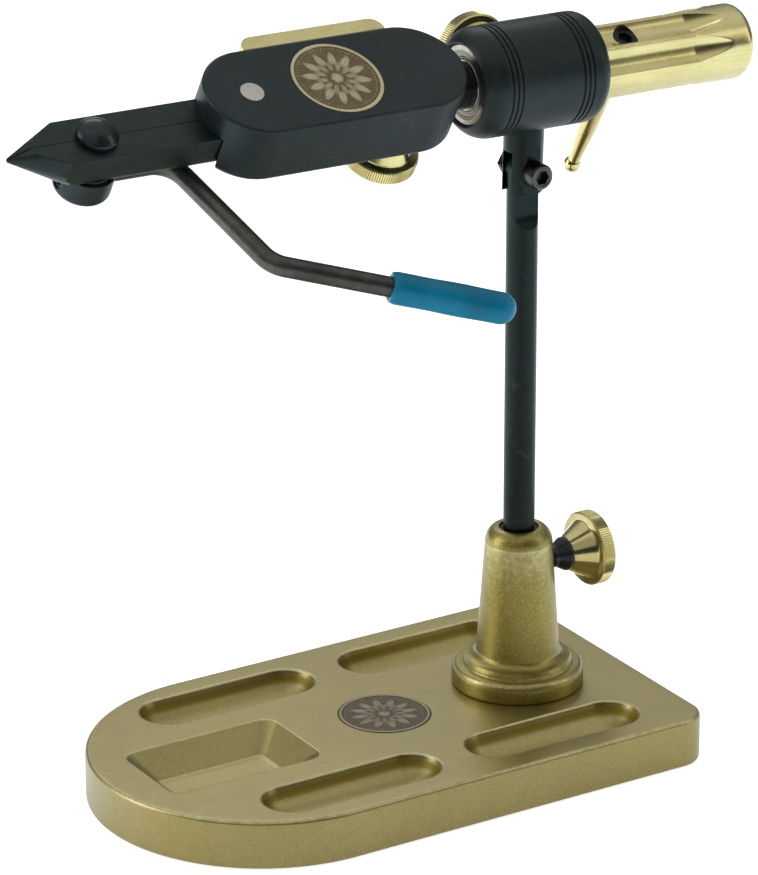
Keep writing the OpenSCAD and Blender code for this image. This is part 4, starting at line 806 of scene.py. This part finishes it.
# Radius of the handle in polar form about its axis. A flute is a round cutter whose middle runs c from the axis:
# radius = c cos d - sqrt(m^2 - c^2 sin^2 d), d from the flute's middle, m shrinking along the run-out. The columns
# follow each flute's edge, where cos d = (c^2 + r^2 - m^2) / (2 c r), and a soft minimum rounds it.
def handleParts(h):
    c = h["r"] - h["deep"] + h["millR"]
    runOut = h["flute"] + h["ramp"] * (1 - (1 - np.linspace(0.008, 0.97, 34)) ** 1.6)
    x = np.concatenate([[0, 0.25, 0.6, 1.5], np.linspace(3, h["flute"] - 1, 10),
                        [h["flute"] - 0.35, h["flute"] - 0.1], runOut, [47.5, 49.0]])
    a = np.linspace(0, math.pi / 2, 10)
    r = np.concatenate([[h["r"] - 0.22, h["r"] - 0.05], np.full(len(x) - 2, h["r"]),
                        h["r"] - h["end"] * (1 - np.cos(a))])
    x = np.concatenate([x, h["long"] - h["end"] * (1 - np.sin(a))])
    mill = h["millR"] - h["rise"] * np.clip((x - h["flute"]) / h["ramp"], 0, 1)
    edge = np.arccos(np.clip((c ** 2 + h["r"] ** 2 - mill ** 2) / (2 * c * h["r"]), -1, 1))
    edge = np.maximum(edge, math.radians(1.5))[:, None]
    inside = np.array([0, .22, .42, .6, .75, .86, .94, .985])
    inside = np.concatenate([-inside[:0:-1], inside])[None, :]
    middles = np.radians(h["flutes"])
    columns = []
    for k, m in enumerate(middles):
        gap = (middles[(k + 1) % len(middles)] - m) % (2 * math.pi)
        t = np.array([0, .01, .03, .08, .2, .4, .6, .8, .92, .97, .99, 1.0])[None, :]
        columns += [m + edge * inside, m + edge + (gap - 2 * edge) * t]
    f = np.concatenate(columns, 1)
    cut = np.full(f.shape, h["clear"])
    for m in middles:
        d = np.abs(np.mod(f - m + math.pi, 2 * math.pi) - math.pi)
        under = mill[:, None] ** 2 - (c * np.sin(d)) ** 2
        reach = c * np.cos(d) - np.sqrt(np.clip(under, 0, None))
        cut = np.minimum(cut, np.where((under > 0) & (d < 1), reach, h["clear"]))
    body = r[:, None] + 0 * f
    k = h["soft"]
    rho = -k * np.logaddexp(-body / k, -cut / k)
    surface = np.stack([rho * np.cos(f), rho * np.sin(f), x[:, None] + 0 * f], -1)
    ring = np.stack([np.cos(f[0]), np.sin(f[0]), 0 * f[0]], -1)
    lead = [ring * radius + np.array([0, 0, z]) for radius, z in
            ((0, -h["nose"]), (h["noseR"] - 0.3, -h["nose"]), (h["noseR"], -h["nose"] + 0.3), (h["noseR"], 0))]
    ringEnd = np.stack([np.cos(f[-1]), np.sin(f[-1]), 0 * f[-1]], -1)
    tail = [ringEnd * radius + np.array([0, 0, h["long"]]) for radius in (6.0, 2.5, 0)]
    rows = np.concatenate([np.stack(lead), surface, np.stack(tail)])
    return [(rows.reshape(-1, 3), gridFaces(len(rows), f.shape[1]))]


# z of this place runs along the handle and x out of the head's face, so that a flute lies under the screw
handlePlace = moved(headPlace, (handle["from"], 0, 0))
handlePlace = (handlePlace[0], np.stack([handlePlace[1][:, 2], -handlePlace[1][:, 1], handlePlace[1][:, 0]], 1))
screwHole = prism(circle(handle["screwR"], 48), 6.0, 14.0)
across, up, out = screwHole[0].T
screwHole = (np.stack([out, up, handle["screwAt"] + across], 1), screwHole[1])
makePiece("handle", handleParts(handle), handlePlace, "rotor", "brassAlong", "polished_brass", "handle",
          cutters=[[screwHole]], sharpAngle=28)

crank = {"at": 32.1, "shank": 2.5, "seat": 9.3, "r": 3.1, "mid": (2.85, 27.6), "low": (2.3, 34.0), "neck": 1.9,
         "ball": 2.65, "reach": 46.2}


# A shouldered shank, a stalk that narrows in two tapers, and a ball
def crankParts(c):
    ballZ = c["reach"] - c["ball"]
    a = np.radians(np.linspace(-46, 90, 16))
    ball = np.stack([c["ball"] * np.cos(a), ballZ + c["ball"] * np.sin(a)], 1)
    stalk = roundedLine([(0, 6.0), (c["shank"], 6.0), (c["shank"], c["seat"], 0.2), (c["r"], c["seat"], 0.3),
                         c["mid"] + (30.0,), c["low"] + (12.0,), (c["neck"], ballZ - c["ball"] - 1.2, 1.2),
                         tuple(ball[0])], 6)
    return [turned(np.concatenate([stalk, ball[1:]]), 64)]


makePiece("crank", crankParts(crank), facing(moved(headPlace, (crank["at"], 0, 0)), "-z"), "rotor", "brassHead",
          "polished_brass", "crank")
print("handle done")

head = {"from": -111.0, "to": -26.4, "r": 16.65, "up": 11.8, "down": 8.3, "edge": 1.0, "under": 2.2,
        "pin": -96.75, "pinR": 3.55, "slotHalf": 9.0, "slotTo": -71.25, "slotUp": 3.62, "slotDown": 4.62,
        "chin": 2.5, "discR": 14.05}


# A flat bar with round ends: its wall's profile carried round a closed outline
def headParts(h):
    x0, x1 = h["from"] + h["r"], h["to"] - h["r"]
    arcs = [(x1, 0, h["r"], -90, 90, 65), (x0, 0, h["r"], 90, 270, 65)]
    wall = roundedLine([(h["r"], h["up"]), (4.0, h["up"]), (0, h["up"], h["edge"]), (0, -h["down"], h["under"]),
                        (4.0, -h["down"]), (h["r"], -h["down"])], 6)
    return [stacked([outline(arcs, d, 24) for d in wall[:, 0]], wall[:, 1])]


# The jaws' slot, the cut that opens it below at the front, and the disc's seat
headCuts = [[prism(rectangle(head["from"] - 2, head["slotTo"], -head["slotHalf"], head["slotHalf"]),
                   -head["slotDown"], head["slotUp"])],
            [prism(rectangle(head["from"] - 2, head["pin"] - head["pinR"] - head["chin"], -head["slotHalf"] + 0.001,
                             head["slotHalf"] - 0.001), -head["down"] - 2, -head["slotDown"] + 1)],
            [prism(circle(head["discR"], 128, disc["headAt"]), head["up"] - disc["under"], head["up"] + 3)]]
makePiece("headHousing", headParts(head), headPlace, "rotor", "darkHead", "dark_head", "head_housing",
          cutters=headCuts, soft=0.28, sharpAngle=40)

spring = {"at": -79.75, "z": -0.5, "half": 3.0, "r": 2.55, "wire": 0.45, "coils": 4.5, "steps": 200, "sides": 12}


# A coil: the wire's middle is at (r cos t, r sin t) and climbs evenly with t; its section is a circle
def springParts(s):
    t = np.linspace(0, 2 * math.pi * s["coils"], s["steps"])[:, None]
    rise = 2 * (s["half"] - s["wire"]) / t[-1, 0]
    g = around(s["sides"])[None, :]
    reach = s["r"] + s["wire"] * np.cos(g)
    height = rise * t - s["half"] + s["wire"] + s["wire"] * np.sin(g)
    points = np.stack([reach * np.cos(t), reach * np.sin(t), height], -1).reshape(-1, 3)
    return [capped(points, gridFaces(s["steps"], s["sides"]), s["sides"])]


makePiece("jawSpring", springParts(spring), facing(moved(headPlace, (spring["at"], 0, spring["z"])), "y"), "rotor",
          "brightSteel", "bright_steel", "jaw_spring")
print("head done")

cam = {"at": -144.85, "top": 3.6, "buttonR": 6.2, "rim": 1.6, "dome": 3.2, "postR": 3.0, "low": -14.2}


# Dome: a cap of a sphere with radius (b^2 + h^2) / 2h on a short straight rim
def camParts(c):
    big = (c["buttonR"] ** 2 + c["dome"] ** 2) / (2 * c["dome"])
    a = np.linspace(math.asin(c["buttonR"] / big), 0, 18)
    dome = np.stack([big * np.sin(a), c["top"] + c["rim"] + c["dome"] - big * (1 - np.cos(a))], 1)
    foot = roundedLine([(0, c["low"]), (c["postR"], c["low"], 0.2), (c["postR"], c["top"], 0.2),
                        (c["buttonR"], c["top"], 0.4), tuple(dome[0]) + (0.5,), tuple(dome[1])], 4)[:-1]
    return [turned(np.concatenate([foot, dome[1:]]), 96)]


camPlace = moved(headPlace, (cam["at"], 0, 0))
makePiece("camButton", camParts(cam), camPlace, "lever", "glossDome", "dark_jaw", "cam_post")

rod = {"level": -11.8, "r": 3.0, "start": 5.0, "legs": (27.7, 45.3, 71.4), "turns": (0, 75.8, 27.4), "bend": 9.0,
       "gripR": 4.7, "gripLong": 36.9, "inGrip": 3.0, "sides": 40}


# The rod's path in the head's plane: three straights joined by two arcs of the bend radius
def rodPath(s):
    heading = np.radians(np.array(s["turns"]))
    ways = np.stack([np.cos(heading), -np.sin(heading)], 1)
    a = ways[0] * s["legs"][0]
    b = a + ways[1] * s["legs"][1]
    end = b + ways[2] * s["legs"][2]
    return ways[0] * s["start"], a, b, end, ways[2]


start, cornerA, cornerB, tip, last = rodPath(rod)
path = roundedLine([tuple(start), tuple(cornerA) + (rod["bend"],), tuple(cornerB) + (rod["bend"],),
                    tuple(tip - last * rod["inGrip"])], 18)
# straights cut into short steps, so that the sweep's sides turn only in the bends
steps = np.concatenate([[0], np.cumsum(np.linalg.norm(np.diff(path, axis=0), axis=1))])
fine = np.unique(np.round(np.concatenate([np.linspace(0, steps[-1], 90), steps]), 3))
path = np.stack([np.interp(fine, steps, path[:, 0]), np.interp(fine, steps, path[:, 1])], 1)
makePiece("leverRod", [sweptRound(path, rod["r"], rod["level"], rod["sides"])], camPlace, "lever", "darkRod",
          "dark_rod", "lever_rod", sharpAngle=50)


# The dipped grip: a tube with a rounded, slightly uneven front rim and a round end; its radius swells
# by two low waves along it
def gripParts(s):
    r, long = s["gripR"], s["gripLong"]
    a = np.linspace(0, math.pi / 2, 14)
    end = np.stack([r * np.cos(a), long - r + r * np.sin(a)], 1)
    lead = roundedLine([(s["r"] - 0.1, 1.2), (s["r"] - 0.1, 0.1, 0.1), (r - 0.35, 0, 0.5), (r, 1.6, 1.2),
                        (r, 4.0)], 5)
    middle = np.stack([np.full(9, r), np.linspace(6, long - r - 1, 9)], 1)

    def waver(rr, z, f):
        near = bell(z, 0, 2.2)
        swell = 0.06 * np.sin(z * 0.35 + 0.8) + 0.04 * np.sin(2 * f + z * 0.16)
        return (rr + swell * (rr > s["r"] + 0.5) * (rr / r),
                z + near * (0.35 * np.sin(f + 0.6) + 0.16 * np.sin(3 * f)))

    return [turned(np.concatenate([lead, middle, end]), 72, shift=waver)]


gripStart = tip - last * rod["gripLong"]
x = headPlace[1] @ np.array([last[0], last[1], 0])
z = headPlace[1][:, 2]
gripPlace = placeAt(moved(camPlace, (gripStart[0], gripStart[1], rod["level"]))[0], z, np.cross(x, z), x)
makePiece("leverGrip", gripParts(rod), gripPlace, "lever", "tealVinyl", "teal_vinyl", "lever_grip")
print("lever done")

elbow = {"tail": -9.4, "r": 2.4, "seat": 5.6, "headR": 3.95, "top": 10.6, "hex": 4.0, "hexDeep": 2.5, "teeth": 44,
         "tooth": 0.16, "down": 28.85}


# Rings from the screw's tail to the hexagon's floor; a hexagon's radius is
# apothem / cos(angle to its flat's middle)
def elbowParts(e):
    f = around(6 * e["teeth"])[None, :]
    hexR = e["hex"] / 2 / np.cos(np.mod(f, math.pi / 3) - math.pi / 6)
    seat, headR, top, floor = e["seat"], e["headR"], e["top"], e["top"] - e["hexDeep"]
    outer = roundedLine([(0, e["tail"]), (e["r"], e["tail"], 0.35), (e["r"], seat), (headR - 0.2, seat, 0.1),
                         (headR, seat + 0.25), (headR, top - 0.7, 0.1), (headR - 0.45, top, 0.15),
                         (2.75, top, 0.1), (2.6, top - 0.12)], 3)
    r, z = outer[:, :1] + 0 * f, outer[:, 1:]
    notch = np.clip((z - seat - 0.3) / 0.1, 0, 1) * np.clip((top - 0.75 - z) / 0.1, 0, 1)
    r = r - e["tooth"] * notch * (outer[:, :1] > 3.5) * (1 - np.cos(e["teeth"] * f)) / 2
    inner = [k * hexR for k in (1.02, 1.0, 1.0, 0.0)]
    r = np.concatenate([r] + inner)
    z = np.concatenate([z[:, 0], [top - 0.12, top - 0.3, floor, floor]])[:, None]
    rows = np.stack([r * np.cos(f), r * np.sin(f), z + 0 * f], -1)
    return [(rows.reshape(-1, 3), gridFaces(len(rows), f.size))]


elbowPlace = moved(facing(hubPlace, "-y"), (0, -elbow["down"], 0))
makePiece("elbowScrew", elbowParts(elbow), elbowPlace, "hub", "greySteel", "grey_steel", "elbow_screw")

# machined pieces that keep the CAD's shape
softNodes = {  # node: (piece, body, finish, slot, width of the broken edge)
    "stem": ("stemRod", "stem_rod", "bluedSteel", "blued_steel", 0.18),
    "stem_sleeve": ("stemSleeve", "sleeve", "glossBlack", "gloss_black", 0.2),
    "elbow_clevis": ("elbowClevis", "hub", "bluedSteel", "blued_steel", 0.25),
    "elbow_nut": ("elbowNut", "hub", "bluedSteel", "bright_steel", 0.2),
    "handle_screw": ("handleScrew", "rotor", "blackSteel", "black_steel", 0.2),
    "jaw_pin": ("jawPin", "rotor", "pinSteel", "bright_steel", 0.12),
    "balance_bar": ("balanceBar", "rotor", "brassSatin", "satin_brass", 0.35),
    "bar_screws": ("barScrews", "rotor", "blackSteel", "black_steel", 0.15),
    "near_jaw": ("nearJaw", "near_jaw_body", "darkJaw", "dark_jaw", 0.22),
    "far_jaw": ("farJaw", "far_jaw_body", "darkJaw", "dark_jaw", 0.22),
    "cam_washer": ("camWasher", "lever", "greySteel", "grey_steel", 0.15),
    "cam_hub": ("camHub", "lever", "darkJaw", "dark_jaw", 0.3),
    "cam_screw": ("camScrew", "lever", "blackSteel", "black_steel", 0.12),
    "base_screws": ("baseScrews", "base", "blackSteel", "black_steel", 0.25),
    "spindle": ("spindleShaft", "rotor", "glossBlack", "blued_steel", 0.2),
}
screwTop = 23.2  # keeps the base's screws inside the flange
for node, (name, body, look, slot, soft) in softNodes.items():
    ceiling = screwTop if node == "base_screws" else None
    softCopy(name, node, body, look, soft, "jaw" not in node, ceiling)

keptNodes = {"stem_knob_stud": "blackSteel", "head_knob_stud": "blackSteel", "drag_stud": "blackSteel",
             "drag_shoe": "whiteNylon", "bearing_balls": "brightSteel", "bearing_cages": "cageBrass",
             "spacer_tube": "greySteel"}
for node, look in keptNodes.items():
    frame["nodes"][node].data.materials.clear()
    frame["nodes"][node].data.materials.append(looks[look])
print("machined pieces done")

cameraView = {"focalPx": 5286.9, "turn": 32.06, "tilt": 21.63, "originU": 516.75, "originV": 723.70,
              "depth": 1.6267, "imageW": 758, "imageH": 875, "sensor": 36.0}


# The pinhole that was fitted to the photograph: the frame's origin is at pixel (originU, originV), depth away
def placeCamera(v):
    turn, tilt = math.radians(v["turn"]), math.radians(v["tilt"])
    forward = np.array([math.sin(turn) * math.cos(tilt), math.cos(turn) * math.cos(tilt), -math.sin(tilt)])
    right = np.array([math.cos(turn), -math.sin(turn), 0.0])
    up = np.cross(right, forward)
    perPx = v["depth"] / v["focalPx"]
    spot = (-(v["originU"] - v["imageW"] / 2) * perPx * right
            + (v["originV"] - v["imageH"] / 2) * perPx * up - v["depth"] * forward)
    cam = bpy.data.cameras.new("camera")
    cam.sensor_fit, cam.sensor_height = "VERTICAL", v["sensor"]
    cam.lens, cam.clip_end = v["focalPx"] * v["sensor"] / v["imageH"], 20
    o = newObject("camera", cam)
    m = np.eye(4)
    m[:3] = np.stack([right, up, -forward, spot], 1)
    o.matrix_world = Matrix(m.tolist())
    bpy.context.scene.camera = o


lightAim = (-0.03, 0, 0.12)


# A soft box: a rectangular light of a given size and power, facing the vise's middle
def softBox(name, spot, size, power, colour=(1, 1, 1)):
    light = bpy.data.lights.new(name, "AREA")
    light.shape, light.size, light.size_y = "RECTANGLE", size[0], size[1]
    light.energy, light.color = power, colour
    turn = (Vector(lightAim) - Vector(spot)).to_track_quat("-Z", "Y").to_matrix().to_4x4()
    newObject(name, light).matrix_world = Matrix.Translation(spot) @ turn


room = {"low": (0.16, 0.16, 0.16), "high": (0.76, 0.78, 0.80), "rise": (0.3, 0.85), "dim": (0.03, 0.035, 0.04),
        "dimFrom": (0.1, 0.7), "near": (0.32, 0.32, 0.32), "sweep": (0.95, 0.97, 1.0), "sweepFrom": (0.1, 0.6),
        "card": (0.75, 0.88, 1.0), "cardFrom": (0.06, 0.26),
        "left": (0.85, 0.92, 1.0), "leftFrom": (-0.11, -0.26), "floor": (4, -0.0004)}


# How far a direction or a spot runs along (x, y, 0)
def runAlong(pen, way, x, y):
    return pen.node("ShaderNodeVectorMath", {"operation": "DOT_PRODUCT"}, {0: way, 1: (x, y, 0.0)}, "Value")


# The floor: white to the camera; to everything else dim near the vise and brighter behind it and at its sides
def layFloor():
    f = Finish("paleFloor")
    tone = f.grain(220, 2).blend((0.86, 0.86, 0.86), (0.90, 0.90, 0.90))
    seen = f.pen.node("ShaderNodeLightPath", out="Is Camera Ray")
    turn = math.radians(cameraView["turn"])
    behind = runAlong(f.pen, f.spot, math.sin(turn), math.cos(turn))
    aside = runAlong(f.pen, f.spot, math.cos(turn), -math.sin(turn))
    glow = behind.step(*room["sweepFrom"]).blend(room["near"], room["sweep"])
    glow = aside.step(*room["cardFrom"]).blend(glow, room["card"])
    glow = aside.step(*room["leftFrom"]).blend(glow, room["left"])
    look = f.paint(Base_Color=tone, Roughness=0.9, Emission_Color=seen.blend(glow, (0.8, 0.8, 0.8)),
                   Emission_Strength=1.0)
    me = bpy.data.meshes.new("floor")
    half, low = room["floor"]
    me.from_pydata([(-half, -half, low), (half, -half, low), (half, half, low), (-half, half, low)], [],
                   [(0, 1, 2, 3)])
    me.materials.append(look)
    newObject("floor", me)


# The studio round the vise: white to the camera; to everything else a grey room, brighter overhead
# and dark on the camera's side
def studio():
    world = bpy.data.worlds.new("studio")
    bpy.context.scene.world = world
    world.use_nodes = True
    tree = world.node_tree
    pen = Wire(tree)
    way = pen.node("ShaderNodeTexCoord", out="Generated")
    up = pen.node("ShaderNodeSeparateXYZ", None, {"Vector": way}, "Z")
    turn = math.radians(cameraView["turn"])
    toCamera = runAlong(pen, way, -math.sin(turn), -math.cos(turn))
    tone = up.step(*room["rise"]).blend(room["low"], room["high"])
    tone = toCamera.step(*room["dimFrom"]).blend(tone, room["dim"])
    seen = pen.node("ShaderNodeLightPath", out="Is Camera Ray")
    back = tree.nodes["Background"]
    tree.links.new(seen.blend(tone, (1.0, 1.0, 1.0)).socket, back.inputs["Color"])
    back.inputs["Strength"].default_value = 1.0


placeCamera(cameraView)
layFloor()
studio()
softBox("keyLight", (-0.9, -0.9, 1.5), (1.7, 1.7), 4.0)
softBox("rightLight", (1.2, -0.9, 0.7), (0.5, 1.0), 2.5, (1.0, 0.98, 0.95))
softBox("backLight", (0.5, 1.3, 1.2), (1.0, 0.6), 3.0)
softBox("leftLight", (-1.3, 0.6, 0.5), (0.7, 1.2), 8.0)
bpy.context.scene.view_settings.view_transform = "Standard"
print("studio done")
